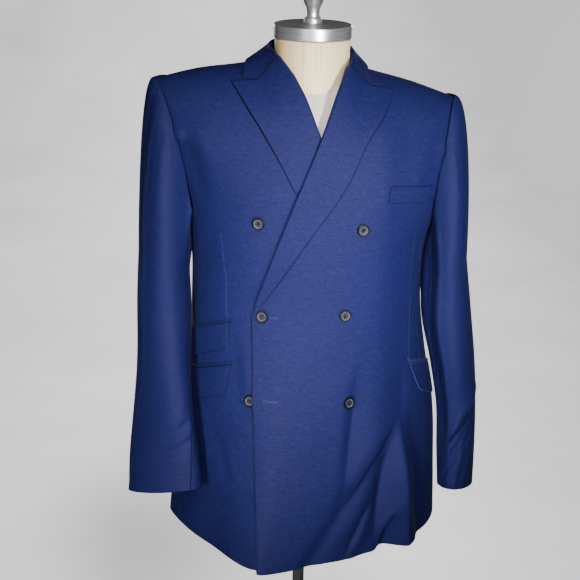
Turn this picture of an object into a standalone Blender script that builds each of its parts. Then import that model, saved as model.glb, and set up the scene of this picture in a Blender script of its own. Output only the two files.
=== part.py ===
"""A double breasted blazer, filled out and standing on a dress form.

Metres, +Z up. The wearer's front faces -Y and the wearer's left is +X. The floor is z = 0 and
the pole of the form is the Z axis. Every cloth piece is an open sheet of points on the coat's
own surface, given its wall by a Solidify modifier, and lies a seam's width from its neighbours.
"""

import math

import bmesh
import bpy
import numpy as np
from mathutils import Matrix, Vector
from mathutils.bvhtree import BVHTree

# ---------------------------------------------------------------- cloth and seams
WALL = 0.0020  # shell, canvas and facing together
LAPEL_WALL = 0.0018
TRIM_WALL = 0.0016  # flaps, welt and jets
SEAM = 0.0002  # each edge is cut back by this much at a seam
LAYER_GAP = 0.0008  # between two layers of cloth
UNDER_LAPEL = WALL + LAYER_GAP  # all measured out from the coat's inner surface
OVER_FRONT = UNDER_LAPEL + LAPEL_WALL + 2 * LAYER_GAP
ON_PANEL = WALL + LAYER_GAP  # what lies on a panel starts here
SLEEVE_SEAT = WALL + 0.0006  # the sleeve head lies on the armhole edge
UNDERARM_SEAT = 2 * WALL + 0.0009

# ---------------------------------------------------------------- the coat's body
# One row for each level ring: height, centre_x, centre_y, the half widths right and left, the
# depths front and back, and how square the quarters are in front on the right, in front on the
# left and behind (2 is an ellipse, 1 is straight).
CHEST = 1.300  # above this level the cloth rolls over to the shoulder seams
ROLL = 0.190  # height from the chest level to the shoulder seams
COAT = np.array([
    [0.730, -0.072, 0.020, 0.142, 0.294, 0.208, 0.120, 1.25, 1.48, 2.2],
    [0.840, -0.060, 0.015, 0.145, 0.277, 0.188, 0.116, 1.40, 1.75, 2.2],
    [0.960, -0.040, 0.010, 0.151, 0.249, 0.163, 0.110, 1.65, 1.90, 2.2],
    [1.050, -0.022, 0.006, 0.159, 0.214, 0.143, 0.104, 1.90, 2.05, 2.3],
    [1.130, -0.010, 0.002, 0.169, 0.191, 0.131, 0.102, 2.10, 2.15, 2.3],
    [1.230, -0.004, 0.000, 0.178, 0.188, 0.130, 0.112, 2.20, 2.20, 2.4],
    [1.300, 0.000, 0.000, 0.196, 0.206, 0.128, 0.122, 2.20, 2.20, 2.4],
    [1.360, 0.000, 0.000, 0.218, 0.222, 0.124, 0.124, 2.20, 2.20, 2.4],
    [1.430, 0.000, 0.000, 0.247, 0.236, 0.120, 0.122, 2.20, 2.20, 2.4],
    [1.500, 0.000, 0.000, 0.262, 0.248, 0.116, 0.118, 2.20, 2.20, 2.4],
])
# The line of the shoulder seams from the wearer's right to the left. Between the two neck
# points it runs on above the neck opening, so that the cloth rises to meet the collar.
# Columns: across, height seen from the front, height seen from behind.
SHOULDERS = np.array([
    [-0.262, 1.4670, 1.4670],
    [-0.240, 1.4730, 1.4730],
    [-0.180, 1.4885, 1.4885],
    [-0.095, 1.5010, 1.5010],
    [-0.080, 1.5045, 1.5045],
    [-0.045, 1.5200, 1.5380],
    [0.000, 1.5300, 1.5600],
    [0.045, 1.5150, 1.5330],
    [0.071, 1.4965, 1.4965],
    [0.085, 1.4925, 1.4925],
    [0.160, 1.4725, 1.4725],
    [0.221, 1.4510, 1.4510],
    [0.248, 1.4420, 1.4420],
])
# Folds that hang in the skirt: each is a soft ridge or trough from a top to a foot.
# Columns: top_x, top_z, foot_x, foot_z, half_width, depth.
SKIRT_FOLDS = np.array([
    [0.152, 0.990, 0.166, 0.700, 0.022, 0.022],
    [0.132, 0.960, 0.125, 0.700, 0.016, -0.008],
    [0.136, 0.955, 0.048, 0.815, 0.013, -0.005],
    [0.104, 0.860, 0.050, 0.720, 0.014, 0.004],
    [-0.150, 0.860, -0.142, 0.700, 0.022, -0.004],
    [0.188, 0.900, 0.200, 0.700, 0.015, 0.006],
])
# Where the over front's edge is lifted by the button that it half covers.
LIFT_X, LIFT_Z, LIFT_RADIUS, LIFT = -0.084, 0.998, 0.030, 0.0026

# ---------------------------------------------------------------- seams and edges, as x and z
HEM = np.array([  # across the front and round the sides: turn from the front in degrees, z
    [-180, 0.752], [-120, 0.756], [-90, 0.757], [-60, 0.751], [-35, 0.742], [-10, 0.734],
    [0, 0.733], [20, 0.739], [40, 0.745], [55, 0.742], [66, 0.744], [80, 0.752], [90, 0.757],
    [120, 0.757], [180, 0.752],
])
SIDE_SEAM = math.radians(68)  # turn of the seam between a front and its side piece
BACK_SEAM = math.radians(118)
BREAK_HEIGHT = 1.130  # where the lapels start to roll
OVER_EDGE = np.array([[0.700, -0.0740], [0.863, -0.0790], [1.009, -0.0840], [1.130, -0.0880]])
UNDER_EDGE = np.array([[0.700, 0.0880], [0.863, 0.0880], [1.009, 0.0880], [1.130, 0.0860]])
OVER_ROLL = np.array([
    [1.130, -0.0880], [1.235, -0.0530], [1.317, -0.0232], [1.399, 0.0103], [1.437, 0.0261],
    [1.476, 0.0436],
])
UNDER_ROLL = np.array([
    [1.130, 0.0860], [1.235, 0.0640], [1.317, 0.0385], [1.398, 0.0102], [1.425, -0.0024],
    [1.459, -0.0193], [1.485, -0.0346],
])
NECK_POINT_RIGHT = -0.080
NECK_POINT_LEFT = 0.071
SHOULDER_POINT_RIGHT = -0.2405
SHOULDER_POINT_LEFT = 0.2210
ARMHOLE_CORNER = 1.285  # height where the side piece meets the armhole
ARMHOLE_FOOT = 1.248

BACK_NECK_HEIGHT = 1.508
# Outer edge of each lapel from the break to the peak, as z and x, then its head from the roll
# line along the gorge to the notch and on to the peak, as x and z.
OVER_LAPEL_EDGE = np.array([
    [1.130, -0.0840], [1.148, -0.0740], [1.180, -0.0536], [1.262, -0.0019], [1.332, 0.0463], [1.397, 0.0788],
    [1.444, 0.1118], [1.4676, 0.1227],
])
OVER_LAPEL_HEAD = np.array([[0.0505, 1.4950], [0.0880, 1.4725], [0.1227, 1.4676]])
UNDER_LAPEL_EDGE = np.array([
    [1.130, 0.0820], [1.148, 0.0730], [1.180, 0.0560], [1.250, 0.0175], [1.3162, -0.0231], [1.388, -0.0632],
    [1.441, -0.0975], [1.4772, -0.1247],
])
UNDER_LAPEL_HEAD = np.array([[-0.0530, 1.5060], [-0.0833, 1.4805], [-0.1247, 1.4772]])
ROLL_STAND = 0.008  # how far the roll line stands off the front below the collar
LAPEL_STAND = 0.0012  # how far the rest of a lapel does
LAPEL_FOOT = 1.148  # a lapel ends just above the button beside the break

# ---------------------------------------------------------------- the sleeves
# One row for each oval of a sleeve, top to cuff: height, centre_x, centre_y, long, short, turn,
# tilt, twist. long runs from back to front and short across. turn brings the front end in
# towards the body, tilt lifts it, and twist keeps the seams in line.
SLEEVE_RIGHT = np.array([
    [1.205, -0.2265, -0.009, 0.0740, 0.0366, 5, 0.000, 0],
    [1.130, -0.2245, -0.014, 0.0710, 0.0405, 7, 0.002, -4],
    [1.040, -0.2245, -0.032, 0.0670, 0.0370, 18, 0.005, -20],
    [0.960, -0.2250, -0.056, 0.0660, 0.0315, 34, 0.008, -50],
    [0.890, -0.2235, -0.075, 0.0670, 0.0290, 47, 0.012, -80],
    [0.837, -0.2220, -0.089, 0.0670, 0.0285, 54, 0.016, -95],
])
SLEEVE_LEFT = np.array([
    [1.200, 0.2205, -0.004, 0.0740, 0.0310, 2, 0.000, 0],
    [1.110, 0.2255, -0.004, 0.0710, 0.0380, 4, 0.002, -2],
    [1.020, 0.2405, -0.004, 0.0680, 0.0340, 7, 0.004, -5],
    [0.950, 0.2495, 0.000, 0.0650, 0.0302, 9, 0.006, -8],
    [0.870, 0.2535, 0.005, 0.0630, 0.0290, 12, 0.009, -12],
    [0.808, 0.2560, 0.008, 0.0620, 0.0265, 15, 0.012, -16],
])
HEAD_RISE = 0.004  # the sleeve head stands above the shoulder point
CAP_SQUARE = 0.86
ARC = 0.0009  # length of one degree round a sleeve, for its creases
# Creases run from one place to another, each place an angle round the sleeve and a height.
# Columns: angle_0, height_0, angle_1, height_1, half_width, depth.
CREASES_RIGHT = np.array([
    [150, 0.960, 95, 0.925, 0.010, -0.004],
    [150, 0.925, 90, 0.895, 0.010, -0.003],
])
CREASES_LEFT = np.array([
    [25, 0.995, 125, 0.900, 0.012, 0.005],
    [45, 0.950, 135, 0.850, 0.012, -0.005],
    [35, 0.900, 70, 0.815, 0.010, 0.003],
])

UNDER_HEM_RISE = 0.006  # the under front is cut shorter beside the over front's corner

# ---------------------------------------------------------------- the collar
# Three lines round the neck, from the right gorge (-1) past the back (0) to the left gorge (1):
# the roll line at the top, the stand's neck seam, and the fall's outer edge. Columns: along,
# roll_x, roll_y, roll_z, seam_x, seam_y, seam_z, edge_x, edge_y.
COLLAR = np.array([
    [-1.0, -0.0560, -0.0420, 1.5130, -0.0490, -0.0385, 1.5015, -0.1077, -0.0460],
    [-0.8, -0.0640, -0.0150, 1.5210, -0.0640, -0.0140, 1.5065, -0.1040, -0.0205],
    [-0.6, -0.0665, 0.0150, 1.5250, -0.0650, 0.0145, 1.5080, -0.0985, 0.0120],
    [-0.4, -0.0590, 0.0450, 1.5280, -0.0525, 0.0410, 1.5080, -0.0850, 0.0520],
    [-0.2, -0.0345, 0.0700, 1.5290, -0.0285, 0.0590, 1.5080, -0.0480, 0.0790],
    [0.0, 0.0000, 0.0790, 1.5305, 0.0000, 0.0670, 1.5080, 0.0000, 0.0880],
    [0.2, 0.0340, 0.0700, 1.5285, 0.0275, 0.0590, 1.5080, 0.0470, 0.0790],
    [0.4, 0.0580, 0.0450, 1.5240, 0.0490, 0.0410, 1.5060, 0.0815, 0.0510],
    [0.6, 0.0660, 0.0150, 1.5170, 0.0595, 0.0145, 1.5020, 0.0855, 0.0120],
    [0.8, 0.0625, -0.0150, 1.5130, 0.0580, -0.0140, 1.4990, 0.0870, -0.0205],
    [1.0, 0.0535, -0.0450, 1.5040, 0.0480, -0.0400, 1.4940, 0.1084, -0.0440],
])
UNDER_COLLAR_TIP = (-0.1077, 1.4812)
OVER_COLLAR_TIP = (0.1084, 1.4715)
GORGE_GAP = 0.0005
COLLAR_BULGE = 0.0015
END_REACH = 0.35  # how far along the collar its ends' own shape is felt
STAND_REACH = 0.94
STAND_INSET = 0.0022
STAND_WALL = 0.0016

# ---------------------------------------------------------------- pockets and buttons
# Each flap hangs from a slanting line: turns from the front in degrees, the line's height at
# its front end, how much it falls towards the back, and how far its front edge leans back.
# Columns: name, front_turn, back_turn, height, fall, lean.
POCKETS = (
    ("ticket", -39.0, -80.0, 1.1170, 0.036, -60.0),
    ("right", -38.0, -84.0, 1.0490, 0.040, -50.0),
    ("left", 56.0, 102.0, 1.0460, 0.038, 130.0),
)
FLAP_DEPTH = {"ticket": 0.047, "right": 0.052, "left": 0.055}
FLAP_CORNER = 0.005
JET_TOP, JET_FOOT = 0.0055, 0.0008
WELT_FOOT = np.array([[0.1097, 1.3094], [0.1850, 1.3020]])
WELT_HEIGHT = 0.0255
WELT_LEAN = 0.0045
BUTTONS = (
    ("button_right_top", -1, -0.0815, 1.2767),
    ("button_left_top", 1, 0.0743, 1.2705),
    ("button_right_middle", 1, -0.0738, 1.1333),
    ("button_left_middle", 1, 0.0513, 1.1362),
    ("button_right_foot", -1, -0.0888, 0.9979),
    ("button_left_foot", 1, 0.0592, 0.9983),
)
BUTTON_PROFILE = (  # radius and height, from the dished face down to the thread shank
    (0.0, 0.0031), (0.0060, 0.0031), (0.0074, 0.0042), (0.0092, 0.0042), (0.0100, 0.0034),
    (0.0098, 0.0022), (0.0080, 0.0013), (0.0022, 0.0011), (0.0022, 0.0), (0.0, 0.0),
)

# ---------------------------------------------------------------- the dress form
FIT = 0.0003  # between pieces that rest on each other
# One row for each level of the torso: height, half_width, front, back, square.
FORM = np.array([
    [0.800, 0.150, 0.118, 0.096, 2.2],
    [0.900, 0.158, 0.122, 0.100, 2.2],
    [1.000, 0.154, 0.116, 0.096, 2.2],
    [1.110, 0.146, 0.106, 0.088, 2.2],
    [1.220, 0.162, 0.114, 0.098, 2.2],
    [1.300, 0.172, 0.118, 0.108, 2.2],
    [1.400, 0.178, 0.112, 0.108, 2.2],
    [1.500, 0.176, 0.108, 0.106, 2.2],
])
FORM_FOOT = 0.800
FORM_SEAT = 0.0013
FORM_NECK_BASE = 1.4930
FORM_TOP = math.radians(83)  # the shoulders end in a narrow flat, not an edge
NECK_FOOT = 1.4500
NECK_RADIUS = 0.0580
CAP_FOOT, CAP_TOP, CAP_RADIUS = 1.5415, 1.5620, 0.0600
POLE_RADIUS = 0.0095
BASE_RADIUS = 0.2100
BASE_TOP = 0.0300
NECK_PROFILE = (
    (0.0, CAP_FOOT - FIT), (NECK_RADIUS, CAP_FOOT - FIT), (NECK_RADIUS, NECK_FOOT + FIT),
    (0.0, NECK_FOOT + FIT),
)
CAP_PROFILE = (
    (0.0, CAP_TOP), (CAP_RADIUS - 0.0012, CAP_TOP), (CAP_RADIUS, CAP_TOP - 0.0012),
    (CAP_RADIUS, CAP_FOOT + 0.0008), (CAP_RADIUS - 0.0008, CAP_FOOT), (0.0, CAP_FOOT),
)
FINIAL_PROFILE = tuple((radius, CAP_TOP + FIT + height) for radius, height in (
    (0.0, 0.0790), (0.0060, 0.0780), (0.0120, 0.0730), (0.0165, 0.0640), (0.0185, 0.0530),
    (0.0175, 0.0420), (0.0140, 0.0310), (0.0105, 0.0240), (0.0097, 0.0180), (0.0100, 0.0110),
    (0.0130, 0.0085), (0.0138, 0.0060), (0.0138, 0.0020), (0.0150, 0.0), (0.0, 0.0),
))
POLE_PROFILE = (
    (0.0, FORM_FOOT - FIT), (POLE_RADIUS, FORM_FOOT - FIT), (POLE_RADIUS, BASE_TOP + FIT),
    (0.0, BASE_TOP + FIT),
)
BASE_PROFILE = (
    (0.0, BASE_TOP), (0.0300, BASE_TOP), (0.0400, 0.0240), (0.1200, 0.0170), (0.1900, 0.0120),
    (0.2060, 0.0090), (BASE_RADIUS, 0.0040), (BASE_RADIUS, 0.0), (0.0, 0.0),
)

# ---------------------------------------------------------------- mesh sizes
SKIRT_ROWS = 9
WAIST_ROWS = 4
ARMHOLE_ROWS = 8
FRONT_COLUMNS = 13
NECK_COLUMNS = 3
BACK_COLUMNS = 6
SIDE_COLUMNS = 4
CAP_ROWS = 7
ARM_ROWS = 12
LAPEL_ROWS = 13
LAPEL_COLUMNS = 6
GORGE_COLUMNS = 4
COLLAR_ROWS = 24
COLLAR_COLUMNS = 5
STAND_COLUMNS = 2
FLAP_COLUMNS = 8
FLAP_ROWS = 3
WELT_COLUMNS = 5
BUTTON_SIDES = 16
FORM_COLUMNS = 28
FORM_LOW_ROWS = 9
FORM_HIGH_ROWS = 7
NECK_SIDES = 32
CAP_SIDES = 40
FINIAL_SIDES = 20
POLE_SIDES = 20
BASE_SIDES = 40
HIND_SEAM = {"left": 0, "right": 2}  # the armhole point, counted from the shoulder's, of a seam
FORE_SEAM = {"left": 9, "right": 9}
HALVINGS = 24
LINE_POINTS = 40
MERGE = 1e-5


def smooth_rows(table, at):
    """Every column of a table after its first, read at any value of the first by cubic curves."""
    keys, values = table[:, 0], table[:, 1:]
    slopes = np.gradient(values, keys, axis=0)
    at = np.asarray(at, float)
    row = np.clip(np.searchsorted(keys, at, side="right") - 1, 0, len(keys) - 2)
    step = (keys[row + 1] - keys[row])[..., None]
    t = np.clip((at[..., None] - keys[row][..., None]) / step, 0, 1)
    low = (2 * t**3 - 3 * t**2 + 1) * values[row] + (t**3 - 2 * t**2 + t) * step * slopes[row]
    high = (3 * t**2 - 2 * t**3) * values[row + 1] + (t**3 - t**2) * step * slopes[row + 1]
    return low + high


def smooth_step(value, start, end):
    """0 before start, 1 after end, and an even rise between."""
    t = np.clip((np.asarray(value, float) - start) / (end - start), 0, 1)
    return t * t * (3 - 2 * t)


def ring_height(rise):
    """The level of the ring for a rise: metres over ROLL below the chest, an angle above it."""
    return np.where(rise < 0, CHEST + ROLL * rise, CHEST + ROLL * np.sin(rise))


def surface(turn, rise):
    """The inside of the coat at a turn from the front and a rise from the chest level.

    Below the chest each ring is four quarters of a superellipse. Above it the ring closes like
    a quarter circle from front and back onto the line of the shoulder seams.
    """
    turn, rise = np.broadcast_arrays(np.asarray(turn, float), np.asarray(rise, float))
    height = ring_height(rise)
    c = smooth_rows(COAT, height)
    across, along = np.sin(turn), np.cos(turn)
    half = np.where(across >= 0, c[..., 3], c[..., 2])
    depth = np.where(along >= 0, c[..., 4], c[..., 5])
    front_square = np.where(across >= 0, c[..., 7], c[..., 6])
    power = 2 / np.where(along >= 0, front_square, c[..., 8])
    x = c[..., 0] + half * np.sign(across) * np.abs(across) ** power
    y = c[..., 1] - depth * np.sign(along) * np.abs(along) ** power
    ridge = smooth_rows(SHOULDERS, x)
    ridge = np.where(along >= 0, ridge[..., 0], ridge[..., 1])
    over = np.maximum(rise, 0)
    z = np.where(rise < 0, height, CHEST + (ridge - CHEST) * np.sin(over))
    return np.stack([x, y * np.cos(over), z], -1)


def rise_at(x, z, back=False):
    """The rise that reaches height z on the line x."""
    ridge = smooth_rows(SHOULDERS, x)[..., 1 if back else 0]
    share = np.clip((z - CHEST) / (ridge - CHEST), -1, 1)
    return np.where(z < CHEST, (z - CHEST) / ROLL, np.arcsin(np.maximum(share, 0)))


def turn_at(x, rise, back=False):
    """The turn that reaches x on the ring of a rise."""
    c = smooth_rows(COAT, ring_height(rise))
    left = x >= c[..., 0]
    half = np.where(left, c[..., 3], c[..., 2])
    square = np.where(left, c[..., 7], c[..., 6])
    if back:
        square = c[..., 8]
    share = np.clip(np.abs(x - c[..., 0]) / half, 0, 1)
    turn = np.arcsin(share ** (square / 2))
    turn = np.where(left, turn, -turn)
    return np.where(turn >= 0, math.pi - turn, -math.pi - turn) if back else turn


def skirt_folds(points):
    """How far the skirt's folds stand out of the plain surface, for points on the front."""
    x, y, z = points[..., 0], points[..., 1], points[..., 2]
    out = np.zeros_like(x)
    for top_x, top_z, foot_x, foot_z, half_width, depth in SKIRT_FOLDS:
        run = np.array([foot_x - top_x, foot_z - top_z])
        share = ((x - top_x) * run[0] + (z - top_z) * run[1]) / (run @ run)
        off = (x - top_x - share * run[0]) * run[1] - (z - top_z - share * run[1]) * run[0]
        off = off / math.hypot(*run)
        out += depth * np.exp(-((off / half_width) ** 2)) * smooth_step(share, 0.0, 0.55)
    return out * smooth_step(-y, -0.02, 0.03)


def on_coat(turn, rise, out):
    """A point that stands out from the coat's surface, square to it, folds included."""
    small = 0.01
    here = surface(turn, rise)
    around = surface(turn + small, rise) - surface(turn - small, rise)
    up = surface(turn, np.minimum(rise + small, math.pi / 2)) - surface(turn, rise - small)
    normal = np.cross(around, up)
    normal /= np.maximum(np.linalg.norm(normal, axis=-1, keepdims=True), 1e-12)
    lift = np.asarray(out + skirt_folds(here))
    return here + normal * np.broadcast_to(lift, here.shape[:-1])[..., None]


def on_face(x, rise, out, back=False):
    """The same, for a point named by how far across it is on the front or the back."""
    rise = np.minimum(rise, math.pi / 2)
    return on_coat(turn_at(x, rise, back), rise, out)


# ---------------------------------------------------------------- sheets to objects
def collection(name):
    made = bpy.data.collections.new(name)
    bpy.context.scene.collection.children.link(made)
    return made


def material(name, colour, roughness, metallic=0.0):
    made = bpy.data.materials.new(name)
    made.use_nodes = True
    shader = made.node_tree.nodes["Principled BSDF"]
    shader.inputs["Base Color"].default_value = (*colour, 1.0)
    shader.inputs["Roughness"].default_value = roughness
    shader.inputs["Metallic"].default_value = metallic
    return made


def add_object(name, mesh, look, group):
    made = bpy.data.objects.new(name, mesh)
    mesh.materials.append(look)
    group.objects.link(made)
    return made


def set_back(grid, first_row=0.0, last_row=0.0, first_column=0.0, last_column=0.0):
    """The grid with its edges drawn in by these lengths, towards the next row or column."""
    grid = grid.copy()

    def draw_in(edge, inner, length):
        step = inner - edge
        size = np.maximum(np.linalg.norm(step, axis=-1, keepdims=True), 1e-9)
        return edge + step / size * np.minimum(length, size / 2)

    grid[0] = draw_in(grid[0], grid[1], first_row)
    grid[-1] = draw_in(grid[-1], grid[-2], last_row)
    grid[:, 0] = draw_in(grid[:, 0], grid[:, 1], first_column)
    grid[:, -1] = draw_in(grid[:, -1], grid[:, -2], last_column)
    return grid


def grid_faces(grid):
    """Four corners for each cell of a grid of points."""
    rows, columns = grid.shape[:2]
    index = np.arange(rows * columns).reshape(rows, columns)
    corners = (index[:-1, :-1], index[:-1, 1:], index[1:, 1:], index[1:, :-1])
    return np.stack(corners, -1).reshape(-1, 4)


def sheet(name, grid, wall, look, group, away_from):
    """A cloth piece: the grid is its inner side, and its wall grows away from away_from."""
    faces = grid_faces(grid)
    points = grid.reshape(-1, 3)
    a, b, c, d = (points[faces[:, k]] for k in range(4))
    normal = np.cross(c - a, d - b)
    if (normal * (points[faces].mean(1) - away_from)).sum() < 0:
        faces = faces[:, ::-1]
    mesh = bpy.data.meshes.new(name)
    mesh.from_pydata(points.tolist(), [], faces.tolist())
    work = bmesh.new()
    work.from_mesh(mesh)
    bmesh.ops.remove_doubles(work, verts=work.verts, dist=MERGE)
    work.to_mesh(mesh)
    work.free()
    mesh.shade_smooth()
    made = add_object(name, mesh, look, group)
    solid = made.modifiers.new("wall", "SOLIDIFY")
    solid.thickness = wall
    solid.offset = 1.0
    solid.use_even_offset = True
    return made


def turned(name, profile, steps, look, group, place=None):
    """A turned piece: a profile of radius and height, down its outer side, spun about Z."""
    mesh = bpy.data.meshes.new(name)
    points = [(radius, 0.0, height) for radius, height in profile]
    mesh.from_pydata(points, [(k, k + 1) for k in range(len(points) - 1)], [])
    made = add_object(name, mesh, look, group)
    made.matrix_world = place or Matrix()
    screw = made.modifiers.new("turned", "SCREW")
    screw.steps = steps
    screw.render_steps = steps
    screw.use_merge_vertices = True
    screw.merge_threshold = MERGE
    screw.use_smooth_shade = True
    return made


def blend_edges(foot, head, start, end):
    """A grid of points between four edges: foot and head run across, start and end run up."""
    rows, columns = len(start), len(foot)
    s = np.linspace(0, 1, columns)[None, :, None]
    t = np.linspace(0, 1, rows)[:, None, None]
    sides = (1 - s) * start[:, None] + s * end[:, None]
    ends = (1 - t) * foot[None] + t * head[None]
    low = (1 - s) * foot[0] + s * foot[-1]
    high = (1 - s) * head[0] + s * head[-1]
    return sides + ends - ((1 - t) * low + t * high)


def spaced(points, count):
    """The same line again, as count points evenly far apart."""
    points = np.asarray(points, float)
    steps = np.linalg.norm(np.diff(points, axis=0), axis=1)
    along = np.concatenate([[0], np.cumsum(steps)])
    at = np.linspace(0, along[-1], count)
    return np.stack([np.interp(at, along, points[:, k]) for k in range(points.shape[1])], 1)


# ---------------------------------------------------------------- the coat's seams
def hem_rise(turn):
    """The rise of the hem at a turn."""
    height = smooth_rows(HEM, np.degrees(turn))[..., 0]
    return (height - CHEST) / ROLL


def seam_x(side, rise):
    """x of the seam between a front and its side piece."""
    return surface(np.full(np.shape(rise), side * SIDE_SEAM), rise)[..., 0]


def corner_rise():
    return (ARMHOLE_CORNER - CHEST) / ROLL


def armhole_x(side, share, back=False):
    """x of the armhole from its corner (share 0) to the shoulder point (share 1)."""
    tip = SHOULDER_POINT_LEFT if side > 0 else SHOULDER_POINT_RIGHT
    if back:
        start = surface(side * BACK_SEAM, corner_rise())[0]
        return start + (tip - start) * (0.55 * share + 0.45 * share**4)
    start = float(seam_x(side, corner_rise()))
    return start + (tip - start) * (1.15 * share - 0.15 * share**4)


def armhole_rise(share):
    return corner_rise() + (math.pi / 2 - corner_rise()) * share


def armhole_stretch(side, back):
    """The armhole's edge on a front or a back, corner to shoulder, as x and rise."""
    share = np.linspace(0, 1, ARMHOLE_ROWS + 1)
    return np.stack([armhole_x(side, share, back), armhole_rise(share)], 1)


def underarm_stretch(side):
    """The armhole's edge on a side piece, from the front to the back, as turn and rise."""
    turn = np.linspace(SIDE_SEAM, BACK_SEAM, SIDE_COLUMNS + 1)
    middle = (SIDE_SEAM + BACK_SEAM) / 2
    dip = 1 - ((turn - middle) / (BACK_SEAM - middle)) ** 2
    height = ARMHOLE_CORNER - (ARMHOLE_CORNER - ARMHOLE_FOOT) * dip
    return np.stack([side * turn, (height - CHEST) / ROLL], 1)


def level_rises(turn):
    """The rises of the rows below the armhole's corner, at a turn."""
    low = hem_rise(turn)
    middle = (BREAK_HEIGHT - CHEST) / ROLL
    skirt = np.linspace(low, middle, SKIRT_ROWS + 1)
    return np.concatenate([skirt, np.linspace(middle, corner_rise(), WAIST_ROWS + 1)[1:]])


def front_inner_edge(side, rises):
    """x of a front's free edge, its roll line and then its neck edge, for each row's rise."""
    edge, roll, neck = (
        (OVER_EDGE, OVER_ROLL, NECK_POINT_LEFT) if side > 0
        else (UNDER_EDGE, UNDER_ROLL, NECK_POINT_RIGHT)
    )
    top_x, top_z = roll[-1, 1], roll[-1, 0]
    top_rise = float(rise_at(top_x, top_z))
    found = []
    for rise in rises:
        if rise >= top_rise:
            share = (rise - top_rise) / (math.pi / 2 - top_rise)
            found.append(top_x + (neck - top_x) * share**0.8)
            continue
        x = top_x
        for _ in range(4):
            z = surface(turn_at(x, rise), rise)[2]
            table = edge if z < BREAK_HEIGHT else roll
            x = float(smooth_rows(table, z)[0])
        found.append(x)
    return np.array(found)


def over_lift(x, rise):
    """How far the over front lies out: clear of the under front and lapel, then down to none."""
    points = surface(turn_at(x, rise), rise)
    away = np.hypot(points[..., 0] - LIFT_X, points[..., 2] - LIFT_Z) / LIFT_RADIUS
    covers = (1 - smooth_step(x, 0.098, 0.150)) * (1 - smooth_step(points[..., 2], 1.40, 1.48))
    return OVER_FRONT * covers + LIFT * np.exp(-(away**2))


def front_grid(side):
    """The front's points, rows from the hem to the shoulder seam, columns to the armhole."""
    seam_rises = level_rises(side * SIDE_SEAM)
    armhole = armhole_stretch(side, back=False)
    outer_rise = np.concatenate([seam_rises, armhole[1:, 1]])
    outer_x = np.concatenate([seam_x(side, seam_rises), armhole[1:, 0]])
    edge_x = OVER_EDGE[0, 1] if side > 0 else UNDER_EDGE[0, 1]
    edge_turn = float(turn_at(edge_x, outer_rise[0]))
    inner_rise = outer_rise.copy()
    low = level_rises(edge_turn)
    inner_rise[: len(low)] = low
    inner_x = front_inner_edge(side, inner_rise)
    share = np.linspace(0, 1, FRONT_COLUMNS)[None]
    share = np.sin(share * math.pi / 2) ** 0.9 * 0.35 + share * 0.65
    x = inner_x[:, None] * (1 - share) + outer_x[:, None] * share
    rise = inner_rise[:, None] * (1 - share) + outer_rise[:, None] * share
    turns = turn_at(x[0], rise[0])
    rise[0] = hem_rise(turns)
    if side < 0:
        rise[0] += UNDER_HEM_RISE / ROLL * smooth_step(turns, -0.4, 0.0)
    return on_face(x, rise, over_lift(x, rise) if side > 0 else 0.0)


def side_grid(side):
    """A side piece's points: rows from the hem to the underarm, columns from front to back."""
    top = underarm_stretch(side)
    columns = []
    for turn, rise in top:
        rises = level_rises(turn)
        rises = rises[0] + (rises - rises[0]) * (rise - rises[0]) / (rises[-1] - rises[0])
        columns.append(on_coat(np.full(len(rises), turn), rises, 0.0))
    return np.stack(columns, 1)


def back_neck_rise(x):
    """The rise of the neck edge on a back: level behind the neck, up to the neck point."""
    return rise_at(x, BACK_NECK_HEIGHT, back=True)


def back_grid(side):
    """A back's points: rows from the hem to the neck and shoulder, columns from the centre."""
    seam_rises = level_rises(side * BACK_SEAM)
    armhole = armhole_stretch(side, back=True)
    outer_rise = np.concatenate([seam_rises, armhole[1:, 1]])
    seam = surface(np.full(len(seam_rises), side * BACK_SEAM), seam_rises)[:, 0]
    outer_x = np.concatenate([seam, armhole[1:, 0]])
    outer = np.stack([outer_x, outer_rise], 1)
    middle_low = level_rises(math.pi)
    neck_rise = float(back_neck_rise(0.0))
    above = np.linspace(corner_rise(), neck_rise, ARMHOLE_ROWS + 1)[1:]
    middle_rise = np.concatenate([middle_low, above])
    middle = np.stack([np.zeros_like(middle_rise), middle_rise], 1)
    neck_x = NECK_POINT_LEFT if side > 0 else NECK_POINT_RIGHT
    tip_x = armhole[-1, 0]
    neck = np.linspace(0, neck_x, NECK_COLUMNS + 1)[:-1]
    neck = np.stack([neck, back_neck_rise(neck)], 1)
    shoulder = neck_x + (tip_x - neck_x) * np.linspace(0, 1, BACK_COLUMNS) ** 1.4
    shoulder = np.stack([shoulder, np.full(BACK_COLUMNS, math.pi / 2)], 1)
    head = np.concatenate([neck, shoulder])
    foot_x = np.linspace(0, outer_x[0], len(head))
    foot_rise = hem_rise(turn_at(foot_x, np.full(len(head), outer_rise[0]), back=True))
    foot = np.stack([foot_x, foot_rise], 1)
    both = blend_edges(foot, head, middle, outer)
    return on_face(both[..., 0], both[..., 1], 0.0, back=True)


# ---------------------------------------------------------------- sleeves
def armhole_loop(side):
    """The armhole once round, from the shoulder point down the front and up the back."""
    front = armhole_stretch(side, back=False)[::-1]
    under = underarm_stretch(side)[1:]
    back = armhole_stretch(side, back=True)[1:]
    turns = np.concatenate([
        turn_at(front[:, 0], front[:, 1]), under[:, 0], turn_at(back[:, 0], back[:, 1], True)
    ])
    rises = np.concatenate([front[:, 1], under[:, 1], back[:, 1]])
    return turns, rises


def sleeve_ring(side, row, angle):
    """One level of a sleeve: an oval whose front end is turned in towards the body."""
    height, centre_x, centre_y, long, short, turn, tilt, twist = row
    turn = math.radians(turn)
    angle = angle + math.radians(twist)
    out = np.array([side * math.cos(turn), -math.sin(turn)])
    front = np.array([-side * math.sin(turn), -math.cos(turn)])
    flat = np.cos(angle)[:, None] * out * short + np.sin(angle)[:, None] * front * long
    z = height + tilt * np.sin(angle)
    return np.column_stack([flat[:, 0] + centre_x, flat[:, 1] + centre_y, z])


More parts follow.
